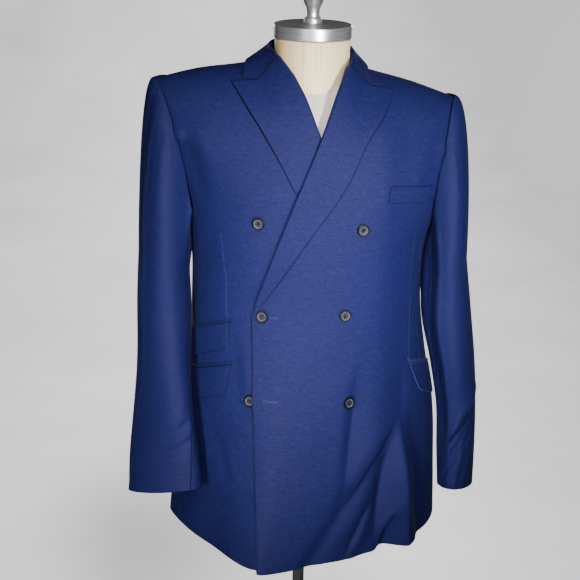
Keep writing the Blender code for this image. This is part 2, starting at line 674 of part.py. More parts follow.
def sleeve_grid(side):
    """A sleeve's points: rows from the armhole to the cuff, columns once round.

    From the armhole each line of points leaves outwards and turns down to the first oval along
    a quarter of a superellipse, and from there the ovals of the table carry it to the cuff.
    """
    table = SLEEVE_LEFT if side > 0 else SLEEVE_RIGHT
    turns, rises = armhole_loop(side)
    plain = on_coat(turns, rises, 0.0)
    steps = np.linalg.norm(np.diff(plain, axis=0), axis=1)
    along = np.concatenate([[0], np.cumsum(steps)])
    foot = ARMHOLE_ROWS + SIDE_COLUMNS // 2
    angle = np.concatenate([
        math.pi * along[: foot + 1] / along[foot],
        math.pi + math.pi * (along[foot + 1 :] - along[foot]) / (along[-1] - along[foot]),
    ])
    under = 1 - np.abs(angle - math.pi) / math.pi
    seat = SLEEVE_SEAT + (UNDERARM_SEAT - SLEEVE_SEAT) * smooth_step(under, 0.45, 0.75)
    start = on_coat(turns, rises, seat)
    first = sleeve_ring(side, table[0], angle)
    corner = np.column_stack([first[:, :2], start[:, 2] + HEAD_RISE * np.cos(angle).clip(0)])
    quarter = np.linspace(0, math.pi / 2, CAP_ROWS + 1)[:, None, None]
    swing, fall = np.sin(quarter) ** CAP_SQUARE, np.cos(quarter) ** CAP_SQUARE
    cap = start + first - corner + (corner - first) * fall + (corner - start) * swing
    straight = start + (first - start) * np.linspace(0, 1, CAP_ROWS + 1)[:, None, None]
    cap += (straight - cap) * smooth_step(under, 0.40, 0.70)[None, :, None]
    heights = np.linspace(table[0, 0], table[-1, 0], ARM_ROWS + 1)[1:]
    order = np.argsort(table[:, 0])
    arm = []
    for height in heights:
        row = np.concatenate([[height], smooth_rows(table[order], height)])
        arm.append(sleeve_ring(side, row, angle))
    grid = np.concatenate([cap, np.stack(arm)])
    return grid + sleeve_creases(side, grid, angle)


def sleeve_creases(side, grid, angle):
    """The sleeve's largest creases, as steps towards or away from its middle line."""
    table = CREASES_LEFT if side > 0 else CREASES_RIGHT
    middle = grid.mean(1, keepdims=True)
    outward = (grid - middle) * [1, 1, 0]
    outward /= np.linalg.norm(outward, axis=-1, keepdims=True)
    degrees = np.degrees(angle)[None] + 0 * grid[..., 2]
    push = np.zeros(grid.shape[:2])
    for angle_0, z_0, angle_1, z_1, half_width, depth in table:
        run = np.array([(angle_1 - angle_0) * ARC, z_1 - z_0])
        a = (degrees - angle_0) * ARC
        b = grid[..., 2] - z_0
        share = (a * run[0] + b * run[1]) / (run @ run)
        off = (a * run[1] - b * run[0]) / math.hypot(*run)
        ends = smooth_step(share, -0.1, 0.2) * (1 - smooth_step(share, 0.8, 1.1))
        push += depth * np.exp(-((off / half_width) ** 2)) * ends
    return outward * push[..., None]


# ---------------------------------------------------------------- lapels and collar
def on_front(side, points, out):
    """Points given as x and z on a front, moved out from the front's own inner side."""
    points = np.asarray(points, float)
    x = points[..., 0]
    rise = rise_at(x, points[..., 1])
    return on_face(x, rise, out + (over_lift(x, rise) if side > 0 else 0.0))


def line_of(table, foot):
    """A line given as z and x, from a foot to the table's last row, as many x and z."""
    heights = np.linspace(foot, table[-1, 0], LINE_POINTS)
    return np.column_stack([smooth_rows(table, heights)[:, 0], heights])


def gorge_line(head):
    """A lapel's head: GORGE_COLUMNS steps along the gorge, then the rest to the peak."""
    gorge = spaced(head[:2], GORGE_COLUMNS + 1)
    return np.concatenate([gorge, spaced(head[1:], LAPEL_COLUMNS - GORGE_COLUMNS + 1)[1:]])


def lapel_grid(side):
    """A lapel's points: rows from the break to the gorge, columns from the roll to the edge."""
    roll, edge, head = (
        (OVER_ROLL, OVER_LAPEL_EDGE, OVER_LAPEL_HEAD) if side > 0
        else (UNDER_ROLL, UNDER_LAPEL_EDGE, UNDER_LAPEL_HEAD)
    )
    rolled, outer = line_of(roll, LAPEL_FOOT), line_of(edge, LAPEL_FOOT)
    start = spaced(np.concatenate([rolled, head[:1]]), LAPEL_ROWS + 1)
    end = spaced(outer, LAPEL_ROWS + 1)
    top = gorge_line(head)
    foot = np.linspace(start[0], end[0], LAPEL_COLUMNS + 1)
    flat = blend_edges(foot, top, start, end)
    share = np.linspace(0, 1, LAPEL_COLUMNS + 1)[None]
    up = smooth_step(flat[..., 1], 1.40, 1.50)
    away = LAPEL_STAND * smooth_step(flat[..., 1], 1.32 if side > 0 else 1.40, 1.44)
    return on_front(side, flat, ON_PANEL + away + ROLL_STAND * up * (1 - share) ** 2)


def collar_end(side):
    """The collar's end: from the roll line along the gorge to the notch, then to its tip."""
    head, tip = (
        (OVER_LAPEL_HEAD, OVER_COLLAR_TIP) if side > 0 else (UNDER_LAPEL_HEAD, UNDER_COLLAR_TIP)
    )
    flat = np.concatenate([gorge_line(head)[: GORGE_COLUMNS + 1], [tip]])
    flat[:, 1] += GORGE_GAP
    share = np.linspace(0, 1, COLLAR_COLUMNS + 1)
    return on_front(side, flat, ON_PANEL + LAPEL_STAND + ROLL_STAND * (1 - share) ** 2)


def on_shoulder(x, y, out):
    """The point over x and y on the coat's shoulders, front or back, moved out."""
    low, high = np.zeros_like(x), np.full_like(x, math.pi)
    for _ in range(HALVINGS):
        middle = (low + high) / 2
        back = middle > math.pi / 2
        rise = np.where(back, math.pi - middle, middle)
        ahead = surface(turn_at(x, rise), rise)[:, 1]
        behind = surface(turn_at(x, rise, True), rise)[:, 1]
        short = np.where(back, behind, ahead) < y
        low, high = np.where(short, middle, low), np.where(short, high, middle)
    return np.where(back[:, None], on_face(x, rise, out, True), on_face(x, rise, out))


def collar_grid():
    """The collar's fall: rows from the right end round the neck, columns roll to outer edge."""
    along = np.linspace(-1, 1, COLLAR_ROWS + 1)
    lines = smooth_rows(COLLAR, along)
    roll, edge = lines[:, 0:3], on_shoulder(lines[:, 6], lines[:, 7], ON_PANEL + LAPEL_STAND)
    first, last = collar_end(-1), collar_end(1)
    share = np.linspace(0, 1, COLLAR_COLUMNS + 1)[None, :, None]
    grid = roll[:, None] * (1 - share) + edge[:, None] * share
    at = along[:, None, None]
    grid += (first - grid[0]) * (1 - smooth_step(at, -1, -1 + END_REACH))
    grid += (last - grid[-1]) * smooth_step(at, 1 - END_REACH, 1)
    outward = grid * [1, 1, 0]
    outward /= np.linalg.norm(outward, axis=-1, keepdims=True)
    return grid + outward * COLLAR_BULGE * 4 * share * (1 - share)


def stand_grid():
    """The collar's stand, inside the fall: rows round the neck, columns from seam to roll."""
    along = np.linspace(-STAND_REACH, STAND_REACH, COLLAR_ROWS - 1)
    lines = smooth_rows(COLLAR, along)
    roll, seam = lines[:, 0:3], lines[:, 3:6]
    inward = roll * [1, 1, 0]
    roll = roll - inward / np.linalg.norm(inward, axis=-1, keepdims=True) * STAND_INSET
    share = np.linspace(0, 1, STAND_COLUMNS + 1)[None, :, None]
    return seam[:, None] * (1 - share) + roll[:, None] * share


# ---------------------------------------------------------------- pockets and buttons
def pocket_grid(row, top, foot, columns, rows, out):
    """A strip on a front: from its top to its foot below the pocket's slanting line."""
    _, turn_0, turn_1, height, slope, lean = row
    across = np.linspace(0, 1, columns + 1)[None]
    down = np.linspace(top, foot, rows + 1)[:, None]
    turn = np.radians(turn_0 + (turn_1 - turn_0) * across + lean * down * (1 - across))
    corner = FLAP_CORNER * (1 - smooth_step(across, 0.0, 0.16)) if foot > FLAP_CORNER else 0.0
    drop = down * (1 - corner / max(foot, 1e-6))
    z = height - slope * across - drop
    rise = np.where(z < CHEST, (z - CHEST) / ROLL, 0.0)
    return on_coat(turn, rise, out)


def welt_grid():
    """The breast pocket's welt."""
    low, high = WELT_FOOT, WELT_FOOT + [[WELT_LEAN, WELT_HEIGHT], [0.0, WELT_HEIGHT]]
    share = np.linspace(0, 1, WELT_COLUMNS + 1)[:, None]
    bottom, top = low[0] + (low[1] - low[0]) * share, high[0] + (high[1] - high[0]) * share
    flat = np.stack([bottom, (bottom + top) / 2, top])
    return on_front(1, flat, ON_PANEL)


def button_place(side, x, z):
    """Where a button stands: its back on the front's own facet and its axis square to it."""
    grid = front_grid(side)
    facets = BVHTree.FromPolygons(grid.reshape(-1, 3).tolist(), grid_faces(grid).tolist())
    place, normal, _, _ = facets.ray_cast(Vector((x, -1.0, z)), Vector((0.0, 1.0, 0.0)))
    if normal.y > 0:
        normal.negate()
    turn = normal.to_track_quat("Z", "Y").to_matrix().to_4x4()
    return Matrix.Translation(place + normal * (WALL + FIT)) @ turn


# ---------------------------------------------------------------- the dress form
def form_grid():
    """The torso's points: rows from its base to the shoulder ridge, columns once round."""
    low = np.linspace((FORM_FOOT - CHEST) / ROLL, 0, FORM_LOW_ROWS + 1)
    high = np.linspace(0, FORM_TOP, FORM_HIGH_ROWS + 1)[1:]
    rise = np.concatenate([low, high])[:, None]
    turn = np.linspace(0, 2 * math.pi, FORM_COLUMNS + 1)[None, :-1]
    c = smooth_rows(FORM, ring_height(rise) + 0 * turn)
    across, along = np.sin(turn), np.cos(turn)
    power = 2 / c[..., 3]
    x = c[..., 0] * np.sign(across) * np.abs(across) ** power
    depth = np.where(along >= 0, c[..., 1], c[..., 2])
    y = -depth * np.sign(along) * np.abs(along) ** power
    over = np.maximum(rise, 0) + 0 * turn
    ridge = np.minimum(smooth_rows(SHOULDERS, x)[..., 0] - FORM_SEAT, FORM_NECK_BASE)
    z = np.where(rise < 0, ring_height(rise), CHEST + (ridge - CHEST) * np.sin(over))
    return np.stack([x, y * np.cos(over), z], -1)


def form_torso(look, group, cutters):
    """The torso: its rings closed below by a flat floor and above by a strip front to back."""
    grid = form_grid()
    rows, columns = grid.shape[:2]
    index = np.arange(rows * columns).reshape(rows, columns)
    following = np.roll(index, -1, 1)
    corners = (index[:-1], following[:-1], following[1:], index[1:])
    faces = np.stack(corners, -1).reshape(-1, 4).tolist() + [index[0, ::-1].tolist()]
    quarter = columns // 4
    front = np.roll(index[-1], quarter)[: 2 * quarter + 1]
    back = np.roll(index[-1, ::-1], -quarter + 1)[: 2 * quarter + 1]
    for k in range(2 * quarter):
        faces.append(list(dict.fromkeys((front[k], front[k + 1], back[k + 1], back[k]))))
    mesh = bpy.data.meshes.new("form_torso")
    mesh.from_pydata(grid.reshape(-1, 3).tolist(), [], faces)
    work = bmesh.new()
    work.from_mesh(mesh)
    bmesh.ops.recalc_face_normals(work, faces=work.faces)
    work.to_mesh(mesh)
    work.free()
    mesh.shade_smooth()
    torso = add_object("form_torso", mesh, look, group)
    bpy.ops.mesh.primitive_cylinder_add(
        vertices=NECK_SIDES, radius=NECK_RADIUS + FIT, depth=2 * (FORM_NECK_BASE - NECK_FOOT),
        location=(0, 0, FORM_NECK_BASE),
    )
    cutter = bpy.context.active_object
    cutter.name = "neck_socket"
    cutter.hide_render = True
    cutter.display_type = "WIRE"
    for old in list(cutter.users_collection):
        old.objects.unlink(cutter)
    cutters.objects.link(cutter)
    cut = torso.modifiers.new("neck socket", "BOOLEAN")
    cut.operation = "DIFFERENCE"
    cut.solver = "EXACT"
    cut.object = cutter
    return torso


# ---------------------------------------------------------------- building
def build_cloth(cloth, group):
    """Every sewn piece of the coat but its pockets and buttons."""
    middle = np.array([0.0, 0.0, 1.0])
    for side, word in ((1, "left"), (-1, "right")):
        grid = set_back(front_grid(side), last_row=SEAM, last_column=SEAM)
        sheet(f"front_{word}", grid, WALL, cloth, group, middle)
        grid = set_back(side_grid(side), last_row=SEAM, first_column=SEAM, last_column=SEAM)
        sheet(f"side_{word}", grid, WALL, cloth, group, middle)
        grid = set_back(back_grid(side), last_row=SEAM, first_column=SEAM, last_column=SEAM)
        sheet(f"back_{word}", grid, WALL, cloth, group, middle)
        grid = sleeve_grid(side)
        table = SLEEVE_LEFT if side > 0 else SLEEVE_RIGHT
        centre = np.array([table[:, 1].mean(), table[:, 2].mean(), 1.0])
        hind, fore = HIND_SEAM[word], FORE_SEAM[word]
        top = set_back(grid[:, hind:fore + 1], first_column=SEAM, last_column=SEAM)
        sheet(f"top_sleeve_{word}", top, WALL, cloth, group, centre)
        under = np.concatenate([grid[:, fore:], grid[:, 1:hind + 1]], 1)
        under = set_back(under, first_column=SEAM, last_column=SEAM)
        sheet(f"under_sleeve_{word}", under, WALL, cloth, group, centre)
        grid = set_back(lapel_grid(side), last_row=SEAM)
        sheet(f"lapel_{word}", grid, LAPEL_WALL, cloth, group, middle)
    grid = set_back(collar_grid(), first_row=SEAM, last_row=SEAM)
    sheet("collar", grid, LAPEL_WALL, cloth, group, np.array([0, 0, 1.40]))
    sheet("collar_stand", stand_grid(), STAND_WALL, cloth, group, np.array([0, 0, 1.45]))


def build_pockets(cloth, group):
    """Flaps, their jets and the breast welt, all lying on the fronts and side pieces."""
    middle = np.array([0.0, 0.0, 1.0])
    for row in POCKETS:
        grid = pocket_grid(row, 0.0, FLAP_DEPTH[row[0]], FLAP_COLUMNS, FLAP_ROWS, ON_PANEL)
        sheet(f"flap_{row[0]}", grid, TRIM_WALL, cloth, group, middle)
        grid = pocket_grid(row, -JET_TOP, -JET_FOOT, FLAP_COLUMNS, 1, ON_PANEL)
        sheet(f"jet_{row[0]}", grid, TRIM_WALL, cloth, group, middle)
    sheet("breast_welt", welt_grid(), TRIM_WALL, cloth, group, middle)


def build_buttons(horn, group):
    for name, side, x, z in BUTTONS:
        place = button_place(side, x, z)
        turned(name, BUTTON_PROFILE, BUTTON_SIDES, horn, group, place)


def build_form(looks, group, cutters):
    """The torso and everything that carries it or stands on it."""
    form_torso(looks["linen"], group, cutters)
    turned("form_neck", NECK_PROFILE, NECK_SIDES, looks["birch"], group)
    turned("form_cap", CAP_PROFILE, CAP_SIDES, looks["aluminium"], group)
    turned("form_finial", FINIAL_PROFILE, FINIAL_SIDES, looks["aluminium"], group)
    turned("form_pole", POLE_PROFILE, POLE_SIDES, looks["pole"], group)
    turned("form_base", BASE_PROFILE, BASE_SIDES, looks["iron"], group)


def main():
    for old in list(bpy.data.objects):
        bpy.data.objects.remove(old, do_unlink=True)
    parts = collection("double_breasted_blazer")
    cutters = collection("cutters")
    cloth = material("navy wool", (0.022, 0.032, 0.115), 0.85)
    horn = material("dark horn", (0.012, 0.014, 0.020), 0.35)
    looks = {
        "linen": material("linen", (0.62, 0.57, 0.47), 0.9),
        "birch": material("birch", (0.74, 0.60, 0.40), 0.55),
        "aluminium": material("brushed aluminium", (0.62, 0.62, 0.63), 0.32, 1.0),
        "pole": material("dark steel", (0.05, 0.05, 0.055), 0.25, 1.0),
        "iron": material("black iron", (0.02, 0.02, 0.022), 0.5, 0.0),
    }
    build_cloth(cloth, parts)
    build_pockets(cloth, parts)
    build_buttons(horn, parts)
    build_form(looks, parts, cutters)


main()
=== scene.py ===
# %% [markdown]
# # A double breasted blazer on a dress form
#
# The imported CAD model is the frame: it gives every piece its place and size. This notebook
# dresses it. The cloth is worked out again from the same named sizes, on much finer grids, and
# given rounded edges, rolled lapels, creases, stitching and a woven look. Metres, +Z up, the
# wearer's front faces -Y and the wearer's left is +X.

# %% Load the frame
import math

import bpy
import numpy as np
from mathutils import Matrix, Vector
from mathutils.bvhtree import BVHTree


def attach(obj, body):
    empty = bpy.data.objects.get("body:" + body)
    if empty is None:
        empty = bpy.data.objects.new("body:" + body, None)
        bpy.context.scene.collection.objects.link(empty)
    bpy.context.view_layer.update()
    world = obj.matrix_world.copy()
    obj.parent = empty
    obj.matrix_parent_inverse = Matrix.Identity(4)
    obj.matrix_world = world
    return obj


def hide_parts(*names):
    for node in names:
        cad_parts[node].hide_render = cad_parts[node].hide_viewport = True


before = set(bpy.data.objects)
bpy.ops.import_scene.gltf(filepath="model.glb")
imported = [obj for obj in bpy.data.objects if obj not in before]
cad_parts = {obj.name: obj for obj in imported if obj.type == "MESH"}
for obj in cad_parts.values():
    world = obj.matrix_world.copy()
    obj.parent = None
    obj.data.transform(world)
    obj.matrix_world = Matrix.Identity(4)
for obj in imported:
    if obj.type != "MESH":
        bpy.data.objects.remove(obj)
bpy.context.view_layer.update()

# %% [markdown]
# ## Camera, floor and light
#
# The camera stands a little to the wearer's right and looks down by 16 degrees. A pale floor
# runs up into a plain wall. Four soft lights stand in front and two behind, under a faint sky.

# %% Camera
CAMERA_PLACE = (-0.1922, -2.7483, 1.928)
LOOK_TURN = math.radians(-3.48)  # the level direction it looks in, from +Y towards -X
LOOK_DOWN = math.radians(16.0)
ROLL_ANGLE = math.radians(1.4)
LENS = 111.72  # for a 36 mm wide image
scene = bpy.context.scene

ahead = Vector((-math.sin(LOOK_TURN), math.cos(LOOK_TURN), 0)) * math.cos(LOOK_DOWN)
ahead.z = -math.sin(LOOK_DOWN)
level = Vector((math.cos(LOOK_TURN), math.sin(LOOK_TURN), 0))
above = level.cross(ahead)
right = level * math.cos(ROLL_ANGLE) + above * math.sin(ROLL_ANGLE)
upward = above * math.cos(ROLL_ANGLE) - level * math.sin(ROLL_ANGLE)
camera_data = bpy.data.cameras.new("camera")
camera_data.lens = LENS
camera_data.sensor_width = 36.0
camera = bpy.data.objects.new("camera", camera_data)
scene.collection.objects.link(camera)
placed = Matrix((right, upward, -ahead)).transposed().to_4x4()
camera.matrix_world = Matrix.Translation(Vector(CAMERA_PLACE)) @ placed
scene.camera = camera
print("camera looks along", tuple(round(v, 3) for v in ahead))

# %% Floor and lights
FLOOR_REACH, SWEEP, WALL_HEIGHT = 9.0, 3.0, 5.0
SWEEP_STEPS, FLOOR_SIDES = 24, 96


def once_round(index):
    """A grid of vertex numbers with its first column again at its end, so that it closes."""
    return np.concatenate([index, index[:, :1]], 1)


def backdrop():
    """A round floor that turns up into a wall all round, along a quarter circle."""
    turn = np.linspace(0, math.pi / 2, SWEEP_STEPS)
    reach = np.concatenate([[0.01, 1.0, 3.0], FLOOR_REACH - SWEEP + SWEEP * np.sin(turn)])
    reach = np.append(reach, FLOOR_REACH)
    z = np.concatenate([[0.0, 0.0, 0.0], SWEEP - SWEEP * np.cos(turn), [WALL_HEIGHT]])
    around = np.linspace(0, 2 * math.pi, FLOOR_SIDES, endpoint=False)
    points = [(r * math.cos(a), r * math.sin(a), h) for r, h in zip(reach, z) for a in around]
    index = once_round(np.arange(len(reach) * FLOOR_SIDES).reshape(-1, FLOOR_SIDES))
    corners = (index[:-1, :-1], index[1:, :-1], index[1:, 1:], index[:-1, 1:])
    faces = np.stack(corners, -1).reshape(-1, 4).tolist() + [list(range(FLOOR_SIDES))]
    mesh = bpy.data.meshes.new("backdrop")
    mesh.from_pydata(points, [], faces)
    mesh.shade_smooth()
    made = bpy.data.objects.new("backdrop", mesh)
    scene.collection.objects.link(made)
    return made


def soft_light(name, place, aim, size, watts, spread=180):
    """A square soft light at a place, turned to shine on aim, within a spread in degrees."""
    data = bpy.data.lights.new(name, "AREA")
    data.size = size
    data.energy = watts
    data.spread = math.radians(spread)
    made = bpy.data.objects.new(name, data)
    made.visible_camera = False
    scene.collection.objects.link(made)
    turn = (Vector(aim) - Vector(place)).to_track_quat("-Z", "Y").to_matrix().to_4x4()
    made.matrix_world = Matrix.Translation(Vector(place)) @ turn
    return made


floor = backdrop()
floor.visible_diffuse = False  # it shows, but sends no light up into the coat
floor.visible_glossy = False
soft_light("key high", (1.3, -4.2, 1.3), (0.03, 0, 1.32), 0.5, 2.3, spread=12)
soft_light("key low", (-1.7, -4.0, 1.6), (0.0, 0, 0.98), 0.5, 2.0, spread=14)
soft_light("top", (0.2, -3.6, 3.9), (0.02, 0, 1.10), 0.5, 2.6, spread=20)
soft_light("fill", (-0.1, -4.4, 1.5), (0, 0, 1.2), 1.0, 10)
soft_light("back left", (1.3, 4.2, 1.1), (0, 0, 1.0), 0.6, 1.6, spread=15)
soft_light("back right", (-1.3, 4.2, 1.1), (0, 0, 1.0), 0.6, 1.2, spread=15)
world = bpy.data.worlds.new("pale sky")
world.use_nodes = True
world.node_tree.nodes["Background"].inputs["Color"].default_value = (0.9, 0.92, 0.95, 1)
world.node_tree.nodes["Background"].inputs["Strength"].default_value = 0.045
scene.world = world
print("floor, sweep and six soft lights")

# %% [markdown]
# ## Materials
#
# Every material is procedural. The wool reads two maps that each cloth piece carries: `weave`,
# in metres along and across the cloth, and `edge`, the distance from a stitched edge and the
# way along it.


# %% Node helpers and materials
def look(name, colour, roughness, **sockets):
    """A Principled material with its even values set on the shader's own sockets."""
    made = bpy.data.materials.new(name)
    made.use_nodes = True
    shader = made.node_tree.nodes["Principled BSDF"]
    shader.inputs["Base Color"].default_value = (*colour, 1)
    shader.inputs["Roughness"].default_value = roughness
    for socket, value in sockets.items():
        shader.inputs[socket.replace("_", " ")].default_value = value
    return made, made.node_tree, shader


def node(tree, kind, settings=None, **inputs):
    """A node of a kind, with its settings, and its inputs as values or other nodes' outputs."""
    made = tree.nodes.new(kind)
    for key, value in (settings or {}).items():
        setattr(made, key, value)
    for key, value in inputs.items():
        numbered = key[0] == "i" and key[1:].isdigit()
        socket = made.inputs[int(key[1:]) if numbered else key]
        if isinstance(value, bpy.types.NodeSocket):
            tree.links.new(value, socket)
        else:
            socket.default_value = value
    return made


def math_node(tree, operation, first, second=0.0, third=0.0):
    """The outcome of a sum on values or other nodes' outputs."""
    made = node(tree, "ShaderNodeMath", {"operation": operation}, i0=first, i1=second, i2=third)
    return made.outputs[0]


def ramp(tree, value, stops):
    """A colour ramp with stops of place and colour."""
    made = node(tree, "ShaderNodeValToRGB", None, Fac=value)
    elements = made.color_ramp.elements
    while len(elements) < len(stops):
        elements.new(0.5)
    for element, (place, colour) in zip(elements, stops):
        element.position = place
        element.color = (*colour, 1)
    return made.outputs["Color"]


def noise(tree, vector, scale, detail=2.0, roughness=0.5):
    """Soft noise from 0 to 1 over a vector."""
    made = node(tree, "ShaderNodeTexNoise", None, Vector=vector, Scale=scale, Detail=detail,
                Roughness=roughness)
    return made.outputs["Fac"]


def stretched(tree, vector, scale):
    """A vector with each of its parts multiplied by its own number."""
    made = node(tree, "ShaderNodeVectorMath", {"operation": "MULTIPLY"}, i0=vector, i1=scale)
    return made.outputs[0]


def fibres(tree, vector, scale, detail, roughness=0.5):
    """Noise that is drawn finer by its own number along each axis."""
    return noise(tree, stretched(tree, vector, scale), 1.0, detail, roughness)


def object_place(tree):
    """The place on the object, in metres."""
    return node(tree, "ShaderNodeTexCoord").outputs["Object"]


def attribute(tree, name):
    """A number that the mesh carries at its points."""
    return node(tree, "ShaderNodeAttribute", {"attribute_name": name}).outputs["Fac"]


def mixed(tree, share, first, second):
    """One colour that turns into another as share rises from 0 to 1."""
    made = node(tree, "ShaderNodeMix", {"data_type": "RGBA"}, i0=share, i6=first, i7=second)
    return made.outputs[2]


def offset_length(tree, place, centre, spread):
    """The distance from a centre, with each axis weighed by its spread."""
    off = node(tree, "ShaderNodeVectorMath", {"operation": "SUBTRACT"}, i0=place, i1=centre)
    off = stretched(tree, off.outputs[0], spread)
    return node(tree, "ShaderNodeVectorMath", {"operation": "LENGTH"}, i0=off).outputs["Value"]


def bump(tree, shader, height, distance, strength=1.0):
    """Tilts the shader's normal by a height."""
    made = node(tree, "ShaderNodeBump", None, Height=height, Distance=distance, Strength=strength)
    tree.links.new(made.outputs[0], shader.inputs["Normal"])


def dress(tree, shader, colour, height, depth, strength):
    """Gives a shader its colour and a fine relief."""
    tree.links.new(colour, shader.inputs["Base Color"])
    bump(tree, shader, height, depth, strength)


STITCH_INSET, STITCH_STEP, STITCH_WIDTH = 0.0032, 0.0062, 0.0006
SEAM_WIDTH = 0.0022  # half the width of a dart's groove
# Painted shade along every cloth edge, over these distances from the edge.
RIM = (0.0005, 0.0017)  # an edge is dark up to the first of these and plain from the second
STITCH_SHARE = 0.28  # how much of each step is thread
# The colour of the stitches and of the painted edge shade, and the pale colour of the painted
# highlight that takes its place on the wearer's left flap and jet.
EDGE_DARK, EDGE_PALE = (0.0012, 0.0025, 0.020, 1), (0.040, 0.055, 0.18, 1)
# The pale colour of the painted highlight down each dart.
DART_HIGHLIGHT = (0.045, 0.058, 0.20, 1)
# The pale colour of the painted highlight on a button's dish and rim.
GLARE_HORN = (0.070, 0.080, 0.10, 1)


def wool():
    """Fine navy worsted: threads both ways, slubs, a soft sheen and pick stitching, with painted
    shade along its edges and a painted highlight down each dart.
    """
    made, tree, shader = look("navy wool", (0.0048, 0.0084, 0.074), 0.68, Sheen_Weight=0.02,
                              Sheen_Roughness=0.4, Specular_IOR_Level=0.16)
    shader.inputs["Sheen Tint"].default_value = (0.55, 0.58, 1.0, 1)
    weave = node(tree, "ShaderNodeUVMap", {"uv_map": "weave"}).outputs[0]
    across = fibres(tree, weave, (75, 560, 1), 3.0, 0.7)
    along = fibres(tree, weave, (520, 90, 1), 3.0, 0.7)
    fine = fibres(tree, weave, (900, 900, 1), 2.0, 0.6)
    place = object_place(tree)
    cloud = noise(tree, place, 14.0, 3.0, 0.6)
    threads = math_node(tree, "MULTIPLY_ADD", across, 1.2, math_node(tree, "MULTIPLY", along, 0.8))
    shade = math_node(tree, "MULTIPLY_ADD", threads, 0.46, -0.04)
    shade = math_node(tree, "MULTIPLY_ADD", cloud, 0.05, shade)
    slubs = fibres(tree, weave, (14, 400, 1), 1.0, 0.5)
    shade = math_node(tree, "MULTIPLY_ADD", slubs, 0.12, shade)
    shade = math_node(tree, "MULTIPLY_ADD", fine, 0.10, shade)
    colour = ramp(tree, shade, (
        (0.30, (0.0022, 0.0030, 0.029)), (0.52, (0.0058, 0.0078, 0.060)),
        (0.78, (0.0150, 0.0185, 0.112)),
    ))
    edge = node(tree, "ShaderNodeUVMap", {"uv_map": "edge"}).outputs[0]
    parts = node(tree, "ShaderNodeSeparateXYZ", None, Vector=edge)
    off = math_node(tree, "SUBTRACT", parts.outputs[0], STITCH_INSET)
    off = math_node(tree, "ABSOLUTE", off)
    near = math_node(tree, "LESS_THAN", off, STITCH_WIDTH)
    step = math_node(tree, "FRACT", math_node(tree, "DIVIDE", parts.outputs[1], STITCH_STEP))
    short = math_node(tree, "LESS_THAN", step, STITCH_SHARE)
    stitch = math_node(tree, "MULTIPLY", near, short)
    # Painted shade: the colour darkens in a narrow band along every edge of the piece, standing in
    # for the shadow lines at the cloth's edges.
    rim = node(tree, "ShaderNodeMapRange", None, i0=parts.outputs[0], i1=RIM[0], i2=RIM[1],
               i3=0.62, i4=0.0)
    shaded = math_node(tree, "MAXIMUM", math_node(tree, "MULTIPLY", stitch, 0.8), rim.outputs[0])
    # Painted highlight: on the wearer's left flap and jet the stitches and the edge band turn
    # pale.
    edging = mixed(tree, attribute(tree, "painted_edge_highlight"), EDGE_DARK, EDGE_PALE)
    edged = mixed(tree, shaded, colour, edging)
    # Each dart is a groove in the relief, and a pale line down its middle is a painted highlight.
    dart = attribute(tree, "dart")
    seam = math_node(tree, "MULTIPLY", math_node(tree, "ABSOLUTE", dart), 1 / SEAM_WIDTH)
    seam = math_node(tree, "SUBTRACT", 1.0, math_node(tree, "MINIMUM", seam, 1.0))
    dart_highlight = math_node(tree, "MAXIMUM", math_node(tree, "MULTIPLY_ADD", seam, 1.0, -0.6), 0.0)
    colour = mixed(tree, dart_highlight, edged, DART_HIGHLIGHT)
    height = math_node(tree, "MULTIPLY_ADD", stitch, -1.6, threads)
    height = math_node(tree, "MULTIPLY_ADD", seam, -1.6, height)
    height = math_node(tree, "ADD", height, fine)
    dress(tree, shader, colour, height, 0.00025, 0.6)
    return made


def thread():
    """Twisted sewing thread, a little lighter than the wool."""
    made, tree, shader = look("silk thread", (0.012, 0.018, 0.08), 0.6)
    place = object_place(tree)
    twist = noise(tree, place, 2600.0, 2.0, 0.6)
    colour = ramp(tree, twist, ((0.3, (0.006, 0.009, 0.045)), (0.7, (0.024, 0.034, 0.13))))
    dress(tree, shader, colour, twist, 0.0002, 0.5)
    return made


def horn():
    """Polished dark horn, faintly streaked, with a painted highlight on its dish and rim shoulder.
    """
    made, tree, shader = look("dark horn", (0.008, 0.010, 0.018), 0.3, Specular_IOR_Level=0.2)
    place = object_place(tree)
    streak = fibres(tree, place, (400, 120, 90), 4.0, 0.6)
    colour = ramp(tree, streak, ((0.35, (0.002, 0.003, 0.006)), (0.75, (0.006, 0.008, 0.014))))
    # Painted highlight: the dish and the inner shoulder of the rim are paler, standing in for
    # glare.
    rim = mixed(tree, attribute(tree, "painted_glare"), colour, GLARE_HORN)
    dress(tree, shader, rim, streak, 0.0001, 0.15)
    return made


def birch():
    """Pale turned wood with fine upright grain."""
    made, tree, shader = look("birch", (0.78, 0.68, 0.5), 0.5)
    place = object_place(tree)
    fine = fibres(tree, place, (260, 260, 9), 5.0, 0.6)
    broad = fibres(tree, place, (38, 38, 3), 3.0, 0.5)
    both = math_node(tree, "MULTIPLY_ADD", broad, 0.7, math_node(tree, "MULTIPLY", fine, 0.5))
    colour = ramp(tree, both, (
        (0.42, (0.80, 0.52, 0.21)), (0.58, (0.99, 0.80, 0.45)), (0.8, (1.0, 0.90, 0.60)),
    ))
    dress(tree, shader, colour, fine, 0.0002, 0.25)
    return made


METAL = 0.85  # dull enough for a soft light to show on it


